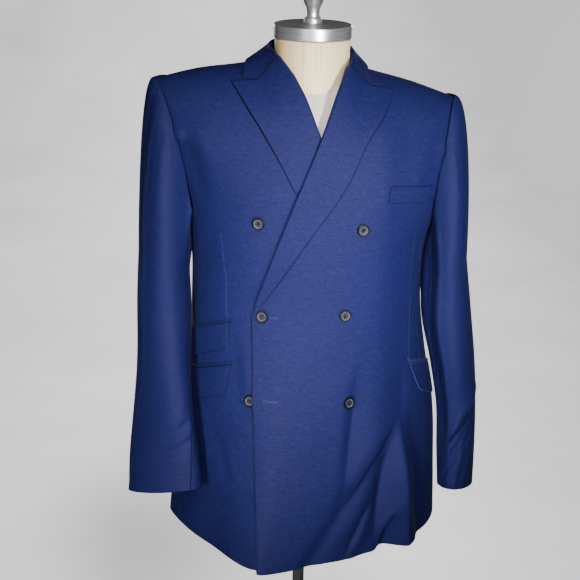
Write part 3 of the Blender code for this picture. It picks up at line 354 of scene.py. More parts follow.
def brushed(name, colour, roughness, rings):
    """Turned metal with fine rings round it (rings) or lines along it."""
    made, tree, shader = look(name, colour, roughness, Metallic=METAL)
    place = object_place(tree)
    scale = (14, 14, 2600) if rings else (900, 900, 10)
    lines = fibres(tree, place, scale, 2.0, 0.6)
    rough = math_node(tree, "MULTIPLY_ADD", lines, 0.18, roughness - 0.09)
    tree.links.new(rough, shader.inputs["Roughness"])
    low = tuple(0.86 * v for v in colour)
    dress(tree, shader, ramp(tree, lines, ((0.3, low), (0.7, colour))), lines, 0.00008, 0.3)
    return made


def linen():
    """A plain canvas cover."""
    made, tree, shader = look("linen", (0.72, 0.68, 0.58), 0.88, Sheen_Weight=0.15)
    place = object_place(tree)
    level_threads = fibres(tree, place, (120, 120, 1500), 2.0)
    upright = fibres(tree, place, (1300, 1300, 90), 2.0)
    threads = math_node(tree, "ADD", level_threads, upright)
    colour = ramp(tree, math_node(tree, "MULTIPLY", threads, 0.5), (
        (0.3, (0.55, 0.5, 0.4)), (0.6, (0.78, 0.74, 0.65)),
    ))
    dress(tree, shader, colour, threads, 0.0003, 0.5)
    return made


def painted(name, low, high, roughness, scale):
    """Dark enamel with a faint mottle."""
    made, tree, shader = look(name, low, roughness, Coat_Weight=0.3, Coat_Roughness=0.15)
    place = object_place(tree)
    mottle = noise(tree, place, scale, 4.0, 0.6)
    dress(tree, shader, ramp(tree, mottle, ((0.3, low), (0.8, high))), mottle, 0.0002, 0.2)
    return made


# The centre of a painted pool of light on the backdrop, and how fast it fades.
LIT_PLACE, LIT_SPREAD = (0.0, 4.4, 0.0), (0.5, 0.09, 0.12)  # the brightest place, its fall off
SHADE_PLACE, SHADE_SPREAD = (-0.30, 1.55, 0.0), (2.2, 1.1, 1.0)  # the soft shade behind the hem


def plaster():
    """The pale floor and wall, self lit, with a painted pool of light that fades outwards and a
    painted soft shadow behind the hem.
    """
    made, tree, shader = look("pale backdrop", (0.8, 0.8, 0.81), 0.95, Emission_Strength=1.3)
    shader.inputs["Emission Color"].default_value = (1, 1, 1.01, 1)
    place = object_place(tree)
    fine = noise(tree, place, 3.0, 4.0, 0.6)
    colour = ramp(tree, fine, ((0.3, (0.78, 0.78, 0.79)), (0.7, (0.82, 0.82, 0.83))))
    tree.links.new(colour, shader.inputs["Base Color"])
    # Painted pool of light: the emission is brightest round LIT_PLACE and fades away from it.
    away = offset_length(tree, place, LIT_PLACE, LIT_SPREAD)
    away = math_node(tree, "MULTIPLY_ADD", noise(tree, place, 1.6, 6.0, 0.65), 0.5, away)
    glow = ramp(tree, away, ((0.42, (1.0, 1.0, 1.01)), (1.1, (0.60, 0.60, 0.61))))
    near = offset_length(tree, place, SHADE_PLACE, SHADE_SPREAD)
    soft = node(tree, "ShaderNodeMapRange", {"interpolation_type": "SMOOTHSTEP"}, i0=near, i1=0.0,
                i2=1.0, i3=0.75, i4=0.0)
    shaded = mixed(tree, soft.outputs[0], glow, (0.40, 0.40, 0.41, 1))
    tree.links.new(shaded, shader.inputs["Emission Color"])
    return made


WOOL, HORN, BIRCH, LINEN = wool(), horn(), birch(), linen()
THREAD_MATERIAL = thread()
CAP_METAL = brushed("brushed aluminium", (0.84, 0.85, 0.86), 0.30, rings=True)
STEEL = brushed("dark steel", (0.34, 0.34, 0.35), 0.2, rings=False)
IRON = painted("black iron", (0.012, 0.012, 0.013), (0.03, 0.03, 0.032), 0.42, 60.0)
floor.data.materials.append(plaster())
print("materials:", ", ".join(m.name for m in bpy.data.materials))

# %% [markdown]
# ## The coat's own sizes
#
# The same named sizes as the solids, so the fine cloth lies where they are. Only the seams are
# cut back less than the solids' are.

# %% Sizes
# ---------------------------------------------------------------- cloth and seams
WALL = 0.0020  # shell, canvas and facing together
LAPEL_WALL = 0.0018
TRIM_WALL = 0.0016  # flaps, welt and jets
SEAM = 0.00003  # each edge is cut back by this much, so that no light shows through a seam
LAYER_GAP = 0.0008  # between two layers of cloth
UNDER_LAPEL = WALL + LAYER_GAP  # all measured out from the coat's inner surface
OVER_FRONT = UNDER_LAPEL + LAPEL_WALL + 2 * LAYER_GAP
ON_PANEL = WALL + LAYER_GAP  # what lies on a panel starts here
SLEEVE_SEAT = WALL + 0.0006  # the sleeve head lies on the armhole edge
UNDERARM_SEAT = 2 * WALL + 0.0009

# ---------------------------------------------------------------- the coat's body
# One row for each level ring: height, centre_x, centre_y, the half widths right and left, the
# depths front and back, and how square the quarters are in front on the right, in front on the
# left and behind (2 is an ellipse, 1 is straight).
CHEST = 1.300  # above this level the cloth rolls over to the shoulder seams
ROLL = 0.190  # height from the chest level to the shoulder seams
COAT = np.array([
    [0.730, -0.072, 0.020, 0.142, 0.294, 0.208, 0.120, 1.25, 1.48, 2.2],
    [0.840, -0.060, 0.015, 0.145, 0.277, 0.188, 0.116, 1.40, 1.75, 2.2],
    [0.960, -0.040, 0.010, 0.151, 0.249, 0.163, 0.110, 1.65, 1.90, 2.2],
    [1.050, -0.022, 0.006, 0.159, 0.214, 0.143, 0.104, 1.90, 2.05, 2.3],
    [1.130, -0.010, 0.002, 0.169, 0.191, 0.131, 0.102, 2.10, 2.15, 2.3],
    [1.230, -0.004, 0.000, 0.178, 0.188, 0.130, 0.112, 2.20, 2.20, 2.4],
    [1.300, 0.000, 0.000, 0.196, 0.206, 0.128, 0.122, 2.20, 2.20, 2.4],
    [1.360, 0.000, 0.000, 0.218, 0.222, 0.124, 0.124, 2.20, 2.20, 2.4],
    [1.430, 0.000, 0.000, 0.247, 0.236, 0.120, 0.122, 2.20, 2.20, 2.4],
    [1.500, 0.000, 0.000, 0.262, 0.248, 0.116, 0.118, 2.20, 2.20, 2.4],
])
# The line of the shoulder seams from the wearer's right to the left. Between the two neck
# points it runs on above the neck opening, so that the cloth rises to meet the collar.
# Columns: across, height seen from the front, height seen from behind.
SHOULDERS = np.array([
    [-0.262, 1.4670, 1.4670],
    [-0.240, 1.4730, 1.4730],
    [-0.180, 1.4885, 1.4885],
    [-0.095, 1.5010, 1.5010],
    [-0.080, 1.5045, 1.5045],
    [-0.045, 1.5200, 1.5380],
    [0.000, 1.5300, 1.5600],
    [0.045, 1.5150, 1.5330],
    [0.071, 1.4965, 1.4965],
    [0.085, 1.4925, 1.4925],
    [0.160, 1.4725, 1.4725],
    [0.221, 1.4510, 1.4510],
    [0.248, 1.4420, 1.4420],
])
# Folds that hang in the skirt: each is a soft ridge or trough from a top to a foot.
# Columns: top_x, top_z, foot_x, foot_z, half_width, depth.
SKIRT_FOLDS = np.array([
    [0.152, 0.990, 0.166, 0.700, 0.022, 0.022],
    [0.132, 0.960, 0.125, 0.700, 0.016, -0.008],
    [0.136, 0.955, 0.048, 0.815, 0.013, -0.005],
    [0.104, 0.860, 0.050, 0.720, 0.014, 0.004],
    [-0.150, 0.860, -0.142, 0.700, 0.022, -0.004],
    [0.188, 0.900, 0.200, 0.700, 0.015, 0.006],
])
# Where the over front's edge is lifted by the button that it half covers.
LIFT_X, LIFT_Z, LIFT_RADIUS, LIFT = -0.084, 0.998, 0.030, 0.0026
# Where the over front comes down onto the body, across towards the arm and up the chest.
COVERS_TO_X, COVERS_TO_Z = (0.098, 0.150), (1.40, 1.48)

# ---------------------------------------------------------------- seams and edges, as x and z
HEM = np.array([  # across the front and round the sides: turn from the front in degrees, z
    [-180, 0.752], [-120, 0.756], [-90, 0.757], [-60, 0.751], [-35, 0.742], [-10, 0.734],
    [0, 0.733], [20, 0.739], [40, 0.745], [55, 0.742], [66, 0.744], [80, 0.752], [90, 0.757],
    [120, 0.757], [180, 0.752],
])
SIDE_SEAM = math.radians(68)  # turn of the seam between a front and its side piece
BACK_SEAM = math.radians(118)
BREAK_HEIGHT = 1.130  # where the lapels start to roll
# By side: 1 is the over front, on the wearer's left, and -1 the under front. As z and x.
FRONT_EDGE = {
    1: np.array([[0.700, -0.0740], [0.863, -0.0790], [1.009, -0.0840], [1.130, -0.0880]]),
    -1: np.array([[0.700, 0.0880], [0.863, 0.0880], [1.009, 0.0880], [1.130, 0.0860]]),
}
ROLL_LINE = {
    1: np.array([
        [1.130, -0.0880], [1.235, -0.0530], [1.317, -0.0232], [1.399, 0.0103], [1.437, 0.0261],
        [1.476, 0.0436],
    ]),
    -1: np.array([
        [1.130, 0.0860], [1.235, 0.0640], [1.317, 0.0385], [1.398, 0.0102], [1.425, -0.0024],
        [1.459, -0.0193], [1.485, -0.0346],
    ]),
}
NECK_POINT = {1: 0.071, -1: -0.080}
SHOULDER_POINT = {1: 0.2210, -1: -0.2405}
ARMHOLE_CORNER = 1.285  # height where the side piece meets the armhole
ARMHOLE_FOOT = 1.248
ARMHOLE_CURVE = {False: (1.15, -0.15), True: (0.55, 0.45)}  # True is behind
BACK_NECK_HEIGHT = 1.508
# Outer edge of each lapel from the break to the peak, as z and x, then its head from the roll
# line along the gorge to the notch and on to the peak, as x and z.
LAPEL_EDGE = {
    1: np.array([
        [1.130, -0.0840], [1.148, -0.0740], [1.180, -0.0536], [1.262, -0.0019],
        [1.332, 0.0463], [1.397, 0.0788], [1.444, 0.1118], [1.4676, 0.1227],
    ]),
    -1: np.array([
        [1.130, 0.0820], [1.148, 0.0730], [1.180, 0.0560], [1.250, 0.0175],
        [1.3162, -0.0231], [1.388, -0.0632], [1.441, -0.0975], [1.4772, -0.1247],
    ]),
}
LAPEL_HEAD = {
    1: np.array([[0.0505, 1.4950], [0.0880, 1.4725], [0.1227, 1.4676]]),
    -1: np.array([[-0.0530, 1.5060], [-0.0833, 1.4805], [-0.1247, 1.4772]]),
}
ROLL_STAND = 0.008  # how far the roll line stands off the front below the collar
LAPEL_STAND = 0.0012  # how far the rest of a lapel does
# The heights between which that grows, for the roll line and for the rest of each lapel.
ROLL_STANDS, LAPEL_STANDS = (1.40, 1.50), {1: (1.32, 1.44), -1: (1.40, 1.44)}
LAPEL_FOOT = 1.148  # a lapel ends just above the button beside the break

# ---------------------------------------------------------------- the sleeves
# One row for each oval of a sleeve, top to cuff: height, centre_x, centre_y, long, short, turn,
# tilt, twist. long runs from back to front and short across. turn brings the front end in
# towards the body, tilt lifts it, and twist keeps the seams in line.
SLEEVE = {
    1: np.array([
        [1.200, 0.2205, -0.004, 0.0740, 0.0310, 2, 0.000, 0],
        [1.110, 0.2255, -0.004, 0.0710, 0.0380, 4, 0.002, -2],
        [1.020, 0.2405, -0.004, 0.0680, 0.0340, 7, 0.004, -5],
        [0.950, 0.2495, 0.000, 0.0650, 0.0302, 9, 0.006, -8],
        [0.870, 0.2535, 0.005, 0.0630, 0.0290, 12, 0.009, -12],
        [0.808, 0.2560, 0.008, 0.0620, 0.0265, 15, 0.012, -16],
    ]),
    -1: np.array([
        [1.205, -0.2265, -0.009, 0.0740, 0.0366, 5, 0.000, 0],
        [1.130, -0.2245, -0.014, 0.0710, 0.0405, 7, 0.002, -4],
        [1.040, -0.2245, -0.032, 0.0670, 0.0370, 18, 0.005, -20],
        [0.960, -0.2250, -0.056, 0.0660, 0.0315, 34, 0.008, -50],
        [0.890, -0.2235, -0.075, 0.0670, 0.0290, 47, 0.012, -80],
        [0.837, -0.2220, -0.089, 0.0670, 0.0285, 54, 0.016, -95],
    ]),
}
HEAD_RISE = 0.004  # the sleeve head stands above the shoulder point
CAP_SQUARE = 0.86
# Where, on the way round to the underarm, the seat deepens and the cap turns straight.
SEAT_DEEPENS, CAP_STRAIGHTENS = (0.45, 0.75), (0.40, 0.70)
ARC = 0.0009  # length of one degree round a sleeve, for its creases
# Creases run from one place to another, each place an angle round the sleeve and a height.
# Columns: angle_0, height_0, angle_1, height_1, half_width, depth.
ARM_CREASES = {
    1: np.array([
        [25, 0.995, 125, 0.900, 0.012, 0.005],
        [45, 0.950, 135, 0.850, 0.012, -0.005],
        [35, 0.900, 70, 0.815, 0.010, 0.003],
        [20, 0.978, 122, 0.893, 0.006, -0.0052],
        [14, 0.993, 116, 0.910, 0.006, 0.0026],
        [62, 0.958, 128, 0.888, 0.005, -0.0040],
        [119, 1.300, 117, 0.840, 0.006, 0.0034],
        [146, 1.280, 142, 0.860, 0.015, -0.0100],
        [180, 1.262, 180, 1.140, 0.030, 0.0042],
        [30, 0.935, 150, 0.822, 0.006, -0.0032],
        [74, 0.905, 96, 0.815, 0.007, 0.0026],
        [110, 1.150, 60, 1.120, 0.012, -0.0014],
        [220, 1.105, 300, 1.070, 0.010, -0.0030],
        [210, 1.060, 290, 1.035, 0.009, -0.0024],
        [230, 0.985, 300, 0.930, 0.010, 0.0024],
        [235, 0.905, 285, 0.845, 0.010, -0.0022],
    ]),
    -1: np.array([
        [150, 0.960, 95, 0.925, 0.010, -0.004],
        [150, 0.925, 90, 0.895, 0.010, -0.003],
        [158, 0.948, 105, 0.915, 0.005, 0.0022],
        [160, 0.905, 100, 0.878, 0.006, 0.0018],
        [120, 1.130, 60, 1.105, 0.012, -0.0016],
        [40, 0.900, 20, 0.820, 0.012, -0.0018],
        [215, 1.120, 300, 1.085, 0.010, -0.0030],
        [225, 1.075, 305, 1.050, 0.009, -0.0026],
        [205, 1.020, 270, 0.975, 0.010, 0.0024],
        [240, 0.930, 290, 0.860, 0.010, -0.0022],
        [176, 1.350, 176, 1.180, 0.030, 0.0034],
        [178, 1.300, 178, 1.190, 0.030, 0.0030],
        [32, 1.440, 32, 0.950, 0.004, 0.0024],
        [20, 1.440, 20, 0.950, 0.006, -0.0040],
    ]),
}

# Finer creases of the coat, as lines from a top to a foot in x and z, on the front (1) or the
# back (-1). A crease has its own half width on each side and stands out by its depth.
# Columns: face, top_x, top_z, foot_x, foot_z, width towards -x, towards +x, depth, open foot
CREASES = np.array([
    [1, 0.0775, 1.070, 0.0500, 0.810, 0.010, 0.030, -0.0078, 0],
    [1, 0.1370, 0.965, 0.0520, 0.830, 0.036, 0.006, 0.0095, 0],
    [1, 0.1390, 0.960, 0.1040, 0.740, 0.022, 0.009, -0.0120, 0],
    [1, 0.1420, 0.975, 0.1580, 0.690, 0.016, 0.005, 0.0090, 0],
    [1, 0.1640, 0.985, 0.1900, 0.680, 0.020, 0.022, -0.0150, 0],
    [1, 0.1080, 0.840, 0.0520, 0.735, 0.012, 0.005, -0.0085, 0],
    [1, 0.1460, 0.822, 0.0980, 0.728, 0.012, 0.005, 0.0072, 0],
    [1, 0.1600, 0.812, 0.1200, 0.725, 0.010, 0.014, -0.0036, 0],
    [1, 0.1500, 1.040, 0.1470, 0.950, 0.012, 0.008, -0.0022, 0],
    [1, -0.0790, 0.852, -0.1200, 0.835, 0.007, 0.010, -0.0026, 0],
    [1, -0.1150, 0.838, -0.1530, 0.799, 0.009, 0.010, -0.0026, 0],
    [1, -0.1420, 0.945, -0.1230, 0.865, 0.009, 0.009, -0.0016, 0],
    [1, -0.1230, 0.925, -0.1070, 0.850, 0.008, 0.010, 0.0014, 0],
    [1, -0.1130, 1.090, -0.1050, 0.960, 0.013, 0.010, -0.0016, 0],
    [1, -0.1020, 1.100, -0.0950, 0.990, 0.008, 0.012, 0.0014, 0],
    [1, 0.0550, 1.105, 0.1150, 1.075, 0.010, 0.012, -0.0012, 0],
    [1, -0.0700, 1.118, -0.0200, 1.085, 0.010, 0.012, 0.0010, 0],
    [1, -0.0600, 0.985, 0.0250, 0.900, 0.024, 0.020, 0.0020, 0],
    [1, -0.1950, 1.400, -0.1600, 1.300, 0.014, 0.012, -0.0030, 0],
    [1, -0.2080, 1.412, -0.1960, 1.385, 0.008, 0.008, 0.0046, 0],
    [1, -0.1780, 1.420, -0.1500, 1.350, 0.014, 0.016, 0.0030, 0],
    [1, 0.1950, 1.390, 0.1680, 1.300, 0.012, 0.014, -0.0024, 0],
    [1, 0.2050, 1.392, 0.1960, 1.362, 0.008, 0.008, 0.0028, 0],
    [1, 0.1720, 1.270, 0.1560, 1.190, 0.012, 0.012, -0.0016, 0],
    [1, -0.1600, 1.245, -0.1500, 1.160, 0.012, 0.012, -0.0016, 0],
    [-1, -0.1300, 1.400, -0.1500, 1.230, 0.018, 0.018, 0.0030, 0],
    [-1, 0.1350, 1.390, 0.1480, 1.250, 0.018, 0.018, 0.0028, 0],
    [-1, -0.0300, 1.150, -0.0950, 1.090, 0.012, 0.016, -0.0022, 0],
    [-1, 0.0450, 1.140, 0.1000, 1.100, 0.014, 0.012, -0.0024, 0],
    [-1, -0.0900, 0.960, -0.0700, 0.745, 0.022, 0.018, 0.0050, 1],
    [-1, 0.0850, 0.980, 0.1050, 0.745, 0.018, 0.024, 0.0055, 1],
    [-1, -0.1450, 0.940, -0.1350, 0.745, 0.014, 0.016, -0.0030, 1],
    [-1, 0.0300, 0.900, 0.0500, 0.745, 0.014, 0.016, -0.0025, 1],
])
# How folds and creases come and go: along their own line, and round to the side of the coat.
FOLD_GROWS, FOLD_FACES = (0.0, 0.55), (-0.02, 0.03)
CREASE_STARTS, CREASE_ENDS, CREASE_FACES = (-0.05, 0.4), (0.6, 1.05), (0.0, 0.03)
CREASE_POWER = 1.7  # 2 would be a bell curve across it
ARM_CREASE_STARTS, ARM_CREASE_ENDS = (-0.1, 0.2), (0.8, 1.1)

UNDER_HEM_RISE = 0.006  # the under front is cut shorter beside the over front's corner
UNDER_HEM_TURNS = (-0.4, 0.0)

# ---------------------------------------------------------------- the collar
# Three lines round the neck, from the right gorge (-1) past the back (0) to the left gorge (1):
# the roll line at the top, the stand's neck seam, and the fall's outer edge. Columns: along,
# roll_x, roll_y, roll_z, seam_x, seam_y, seam_z, edge_x, edge_y.
COLLAR = np.array([
    [-1.0, -0.0560, -0.0420, 1.5130, -0.0490, -0.0385, 1.5015, -0.1077, -0.0460],
    [-0.8, -0.0640, -0.0150, 1.5210, -0.0640, -0.0140, 1.5065, -0.1040, -0.0205],
    [-0.6, -0.0665, 0.0150, 1.5250, -0.0650, 0.0145, 1.5080, -0.0985, 0.0120],
    [-0.4, -0.0590, 0.0450, 1.5280, -0.0525, 0.0410, 1.5080, -0.0850, 0.0520],
    [-0.2, -0.0345, 0.0700, 1.5290, -0.0285, 0.0590, 1.5080, -0.0480, 0.0790],
    [0.0, 0.0000, 0.0790, 1.5305, 0.0000, 0.0670, 1.5080, 0.0000, 0.0880],
    [0.2, 0.0340, 0.0700, 1.5285, 0.0275, 0.0590, 1.5080, 0.0470, 0.0790],
    [0.4, 0.0580, 0.0450, 1.5240, 0.0490, 0.0410, 1.5060, 0.0815, 0.0510],
    [0.6, 0.0660, 0.0150, 1.5170, 0.0595, 0.0145, 1.5020, 0.0855, 0.0120],
    [0.8, 0.0625, -0.0150, 1.5130, 0.0580, -0.0140, 1.4990, 0.0870, -0.0205],
    [1.0, 0.0535, -0.0450, 1.5040, 0.0480, -0.0400, 1.4940, 0.1084, -0.0440],
])
COLLAR_TIP = {1: (0.1084, 1.4715), -1: (-0.1077, 1.4812)}
GORGE_GAP = 0.0005
COLLAR_BULGE = 0.0015
END_REACH = 0.35  # how far along the collar its ends' own shape is felt
STAND_REACH = 0.94

# ---------------------------------------------------------------- pockets and buttons
# Each flap hangs from a slanting line: turns from the front in degrees, the line's height at
# its front end, how much it falls towards the back, and how far its front edge leans back.
# Columns: name, front_turn, back_turn, height, fall, lean.
POCKETS = (
    ("ticket", -39.0, -80.0, 1.1170, 0.036, -60.0),
    ("right", -38.0, -84.0, 1.0490, 0.040, -50.0),
    ("left", 56.0, 102.0, 1.0460, 0.038, 130.0),
)
FLAP_DEPTH = {"ticket": 0.047, "right": 0.052, "left": 0.055}
FLAP_CORNER, CORNER_SHARE = 0.005, 0.07  # its height, and its share of the flap's width
JET_TOP, JET_FOOT = 0.0055, 0.0008
WELT_FOOT = np.array([[0.1097, 1.3094], [0.1850, 1.3020]])
WELT_HEIGHT = 0.0255
WELT_LEAN = 0.0045
BUTTONS = (
    ("button_right_top", -1, -0.0815, 1.2767),
    ("button_left_top", 1, 0.0743, 1.2705),
    ("button_right_middle", 1, -0.0738, 1.1333),
    ("button_left_middle", 1, 0.0513, 1.1362),
    ("button_right_foot", -1, -0.0888, 0.9979),
    ("button_left_foot", 1, 0.0592, 0.9983),
)
BUTTON_PROFILE = (  # radius and height, from the dished face down to the thread shank
    (0.0, 0.0031), (0.0060, 0.0031), (0.0074, 0.0042), (0.0092, 0.0042), (0.0100, 0.0034),
    (0.0098, 0.0022), (0.0080, 0.0013), (0.0022, 0.0011), (0.0022, 0.0), (0.0, 0.0),
)

# ---------------------------------------------------------------- the dress form
FIT = 0.0003  # between pieces that rest on each other
FORM_FOOT = 0.800
NECK_FOOT = 1.4500
NECK_RADIUS = 0.0580
CAP_FOOT, CAP_TOP, CAP_RADIUS = 1.5415, 1.5620, 0.0600
POLE_RADIUS = 0.0095
BASE_RADIUS = 0.2100
BASE_TOP = 0.0300
NECK_PROFILE = (
    (0.0, CAP_FOOT - FIT), (NECK_RADIUS, CAP_FOOT - FIT), (NECK_RADIUS, NECK_FOOT + FIT),
    (0.0, NECK_FOOT + FIT),
)
CAP_PROFILE = (
    (0.0, CAP_TOP), (CAP_RADIUS - 0.0012, CAP_TOP), (CAP_RADIUS, CAP_TOP - 0.0012),
    (CAP_RADIUS, CAP_FOOT + 0.0008), (CAP_RADIUS - 0.0008, CAP_FOOT), (0.0, CAP_FOOT),
)
FINIAL_PROFILE = tuple((radius, CAP_TOP + FIT + height) for radius, height in (
    (0.0, 0.0790), (0.0060, 0.0780), (0.0120, 0.0730), (0.0165, 0.0640), (0.0185, 0.0530),
    (0.0175, 0.0420), (0.0140, 0.0310), (0.0105, 0.0240), (0.0097, 0.0180), (0.0100, 0.0110),
    (0.0130, 0.0085), (0.0138, 0.0060), (0.0138, 0.0020), (0.0150, 0.0), (0.0, 0.0),
))
POLE_PROFILE = (
    (0.0, FORM_FOOT - FIT), (POLE_RADIUS, FORM_FOOT - FIT), (POLE_RADIUS, BASE_TOP + FIT),
    (0.0, BASE_TOP + FIT),
)
BASE_PROFILE = (
    (0.0, BASE_TOP), (0.0300, BASE_TOP), (0.0400, 0.0240), (0.1200, 0.0170), (0.1900, 0.0120),
    (0.2060, 0.0090), (BASE_RADIUS, 0.0040), (BASE_RADIUS, 0.0), (0.0, 0.0),
)

# ---------------------------------------------------------------- grid sizes
SKIRT_ROWS = 110
WAIST_ROWS = 46
ARMHOLE_ROWS = 64
FRONT_COLUMNS = 110
NECK_COLUMNS = 14
BACK_COLUMNS = 52
SIDE_COLUMNS = 24
CAP_ROWS = 40
ARM_ROWS = 130
LAPEL_ROWS = 130
LAPEL_COLUMNS = 48
GORGE_COLUMNS = 32
COLLAR_ROWS = 150
COLLAR_COLUMNS = GORGE_COLUMNS + 1
STAND_COLUMNS = 12
FLAP_COLUMNS = 60
FLAP_ROWS = 24
JET_ROWS = 6
WELT_COLUMNS = 34
HIND_SEAM = {"left": 0, "right": ARMHOLE_ROWS // 4}
FORE_SEAM = {"left": ARMHOLE_ROWS + SIDE_COLUMNS // 4, "right": ARMHOLE_ROWS + SIDE_COLUMNS // 4}
HALVINGS = 24
CROWDED, CROWD_POWER = 0.35, 0.9  # how a front's columns crowd towards the armhole
SHOULDER_POWER = 1.4  # how a back's columns crowd towards the neck point
NEAR_BY = 0.01  # the turn and rise to the neighbours that give the coat's normal
LINE_POINTS = 200
print("coat sizes:", len(COAT), "rings,", len(SHOULDERS), "shoulder points")

# %% [markdown]
# ## The coat's surface
#
# One smooth surface, given by a turn round the body and a rise from the chest level, carries
# all the cloth. Each piece is a patch of it, moved out by its own layer.


# %% The coat's surface
def smooth_rows(table, at):
    """Every column of a table after its first, read at any value of the first by cubic curves."""
    keys, values = table[:, 0], table[:, 1:]
    slopes = np.gradient(values, keys, axis=0)
    at = np.asarray(at, float)
    row = np.clip(np.searchsorted(keys, at, side="right") - 1, 0, len(keys) - 2)
    step = (keys[row + 1] - keys[row])[..., None]
    t = np.clip((at[..., None] - keys[row][..., None]) / step, 0, 1)
    low = (2 * t**3 - 3 * t**2 + 1) * values[row] + (t**3 - 2 * t**2 + t) * step * slopes[row]
    high = (3 * t**2 - 2 * t**3) * values[row + 1] + (t**3 - t**2) * step * slopes[row + 1]
    return low + high


def unit(vectors):
    """The same directions, each of length one."""
    return vectors / np.maximum(np.linalg.norm(vectors, axis=-1, keepdims=True), 1e-12)


def smooth_step(value, start, end):
    """0 before start, 1 after end, and an even rise between."""
    t = np.clip((np.asarray(value, float) - start) / (end - start), 0, 1)
    return t * t * (3 - 2 * t)


def ring_height(rise):
    """The level of the ring for a rise: metres over ROLL below the chest, an angle above it."""
    return np.where(rise < 0, CHEST + ROLL * rise, CHEST + ROLL * np.sin(rise))


def surface(turn, rise):
    """The inside of the coat at a turn from the front and a rise from the chest level.

    Below the chest each ring is four quarters of a superellipse. Above it the ring closes like
    a quarter circle from front and back onto the line of the shoulder seams.
    """
    turn, rise = np.broadcast_arrays(np.asarray(turn, float), np.asarray(rise, float))
    height = ring_height(rise)
    c = smooth_rows(COAT, height)
    across, along = np.sin(turn), np.cos(turn)
    half = np.where(across >= 0, c[..., 3], c[..., 2])
    depth = np.where(along >= 0, c[..., 4], c[..., 5])
    front_square = np.where(across >= 0, c[..., 7], c[..., 6])
    power = 2 / np.where(along >= 0, front_square, c[..., 8])
    x = c[..., 0] + half * np.sign(across) * np.abs(across) ** power
    y = c[..., 1] - depth * np.sign(along) * np.abs(along) ** power
    ridge = smooth_rows(SHOULDERS, x)
    ridge = np.where(along >= 0, ridge[..., 0], ridge[..., 1])
    over = np.maximum(rise, 0)
    z = np.where(rise < 0, height, CHEST + (ridge - CHEST) * np.sin(over))
    return np.stack([x, y * np.cos(over), z], -1)


def rise_at(x, z, back=False):
    """The rise that reaches height z on the line x."""
    ridge = smooth_rows(SHOULDERS, x)[..., 1 if back else 0]
    share = np.clip((z - CHEST) / (ridge - CHEST), -1, 1)
    return np.where(z < CHEST, (z - CHEST) / ROLL, np.arcsin(np.maximum(share, 0)))


def turn_at(x, rise, back=False):
    """The turn that reaches x on the ring of a rise."""
    c = smooth_rows(COAT, ring_height(rise))
    left = x >= c[..., 0]
    half = np.where(left, c[..., 3], c[..., 2])
    square = np.where(left, c[..., 7], c[..., 6])
    if back:
        square = c[..., 8]
    share = np.clip(np.abs(x - c[..., 0]) / half, 0, 1)
    turn = np.arcsin(share ** (square / 2))
    turn = np.where(left, turn, -turn)
    return np.where(turn >= 0, math.pi - turn, -math.pi - turn) if back else turn


def skirt_folds(points):
    """How far the skirt's folds stand out of the plain surface, for points on the front."""
    x, y, z = points[..., 0], points[..., 1], points[..., 2]
    out = np.zeros_like(x)
    for top_x, top_z, foot_x, foot_z, half_width, depth in SKIRT_FOLDS:
        run = np.array([foot_x - top_x, foot_z - top_z])
        share = ((x - top_x) * run[0] + (z - top_z) * run[1]) / (run @ run)
        off = (x - top_x - share * run[0]) * run[1] - (z - top_z - share * run[1]) * run[0]
        off = off / math.hypot(*run)
        out += depth * np.exp(-((off / half_width) ** 2)) * smooth_step(share, *FOLD_GROWS)
    return out * smooth_step(-y, *FOLD_FACES)


def beside(a, b, run):
    """How far along a line points lie, from 0 to 1, and how far beside it."""
    return (a * run[0] + b * run[1]) / (run @ run), (b * run[0] - a * run[1]) / math.hypot(*run)


def coat_creases(points):
    """How far the finer creases stand out of the folded surface."""
    x, y, z = points[..., 0], points[..., 1], points[..., 2]
    out = np.zeros_like(x)
    for face, top_x, top_z, foot_x, foot_z, left, right_side, depth, open_foot in CREASES:
        run = np.array([foot_x - top_x, foot_z - top_z])
        share, off = beside(x - top_x, z - top_z, run)
        width = np.where(off < 0, left, right_side)
        ends = smooth_step(share, *CREASE_STARTS)
        if not open_foot:
            ends = ends * (1 - smooth_step(share, *CREASE_ENDS))
        ends = ends * smooth_step(-y * face, *CREASE_FACES)
        out += depth * np.exp(-(np.abs(off / width) ** CREASE_POWER)) * ends
    return out


def on_coat(turn, rise, out):
    """A point that stands out from the coat's surface, square to it, folds included."""
    here = surface(turn, rise)
    around = surface(turn + NEAR_BY, rise) - surface(turn - NEAR_BY, rise)
    up = surface(turn, np.minimum(rise + NEAR_BY, math.pi / 2)) - surface(turn, rise - NEAR_BY)
    normal = unit(np.cross(around, up))
    lift = np.asarray(out + skirt_folds(here) + coat_creases(here))
    return here + normal * np.broadcast_to(lift, here.shape[:-1])[..., None]


def on_face(x, rise, out, back=False):
    """The same, for a point named by how far across it is on the front or the back."""
    rise = np.minimum(rise, math.pi / 2)
    return on_coat(turn_at(x, rise, back), rise, out)


def set_back(grid, first_row=0.0, last_row=0.0, first_column=0.0, last_column=0.0):
    """The grid with its edges drawn in by these lengths, towards the next row or column."""
    grid = grid.copy()

    def draw_in(edge, inner, length):
        step = inner - edge
        size = np.maximum(np.linalg.norm(step, axis=-1, keepdims=True), 1e-9)
        return edge + step / size * np.minimum(length, size / 2)

    grid[0] = draw_in(grid[0], grid[1], first_row)
    grid[-1] = draw_in(grid[-1], grid[-2], last_row)
    grid[:, 0] = draw_in(grid[:, 0], grid[:, 1], first_column)
    grid[:, -1] = draw_in(grid[:, -1], grid[:, -2], last_column)
    return grid


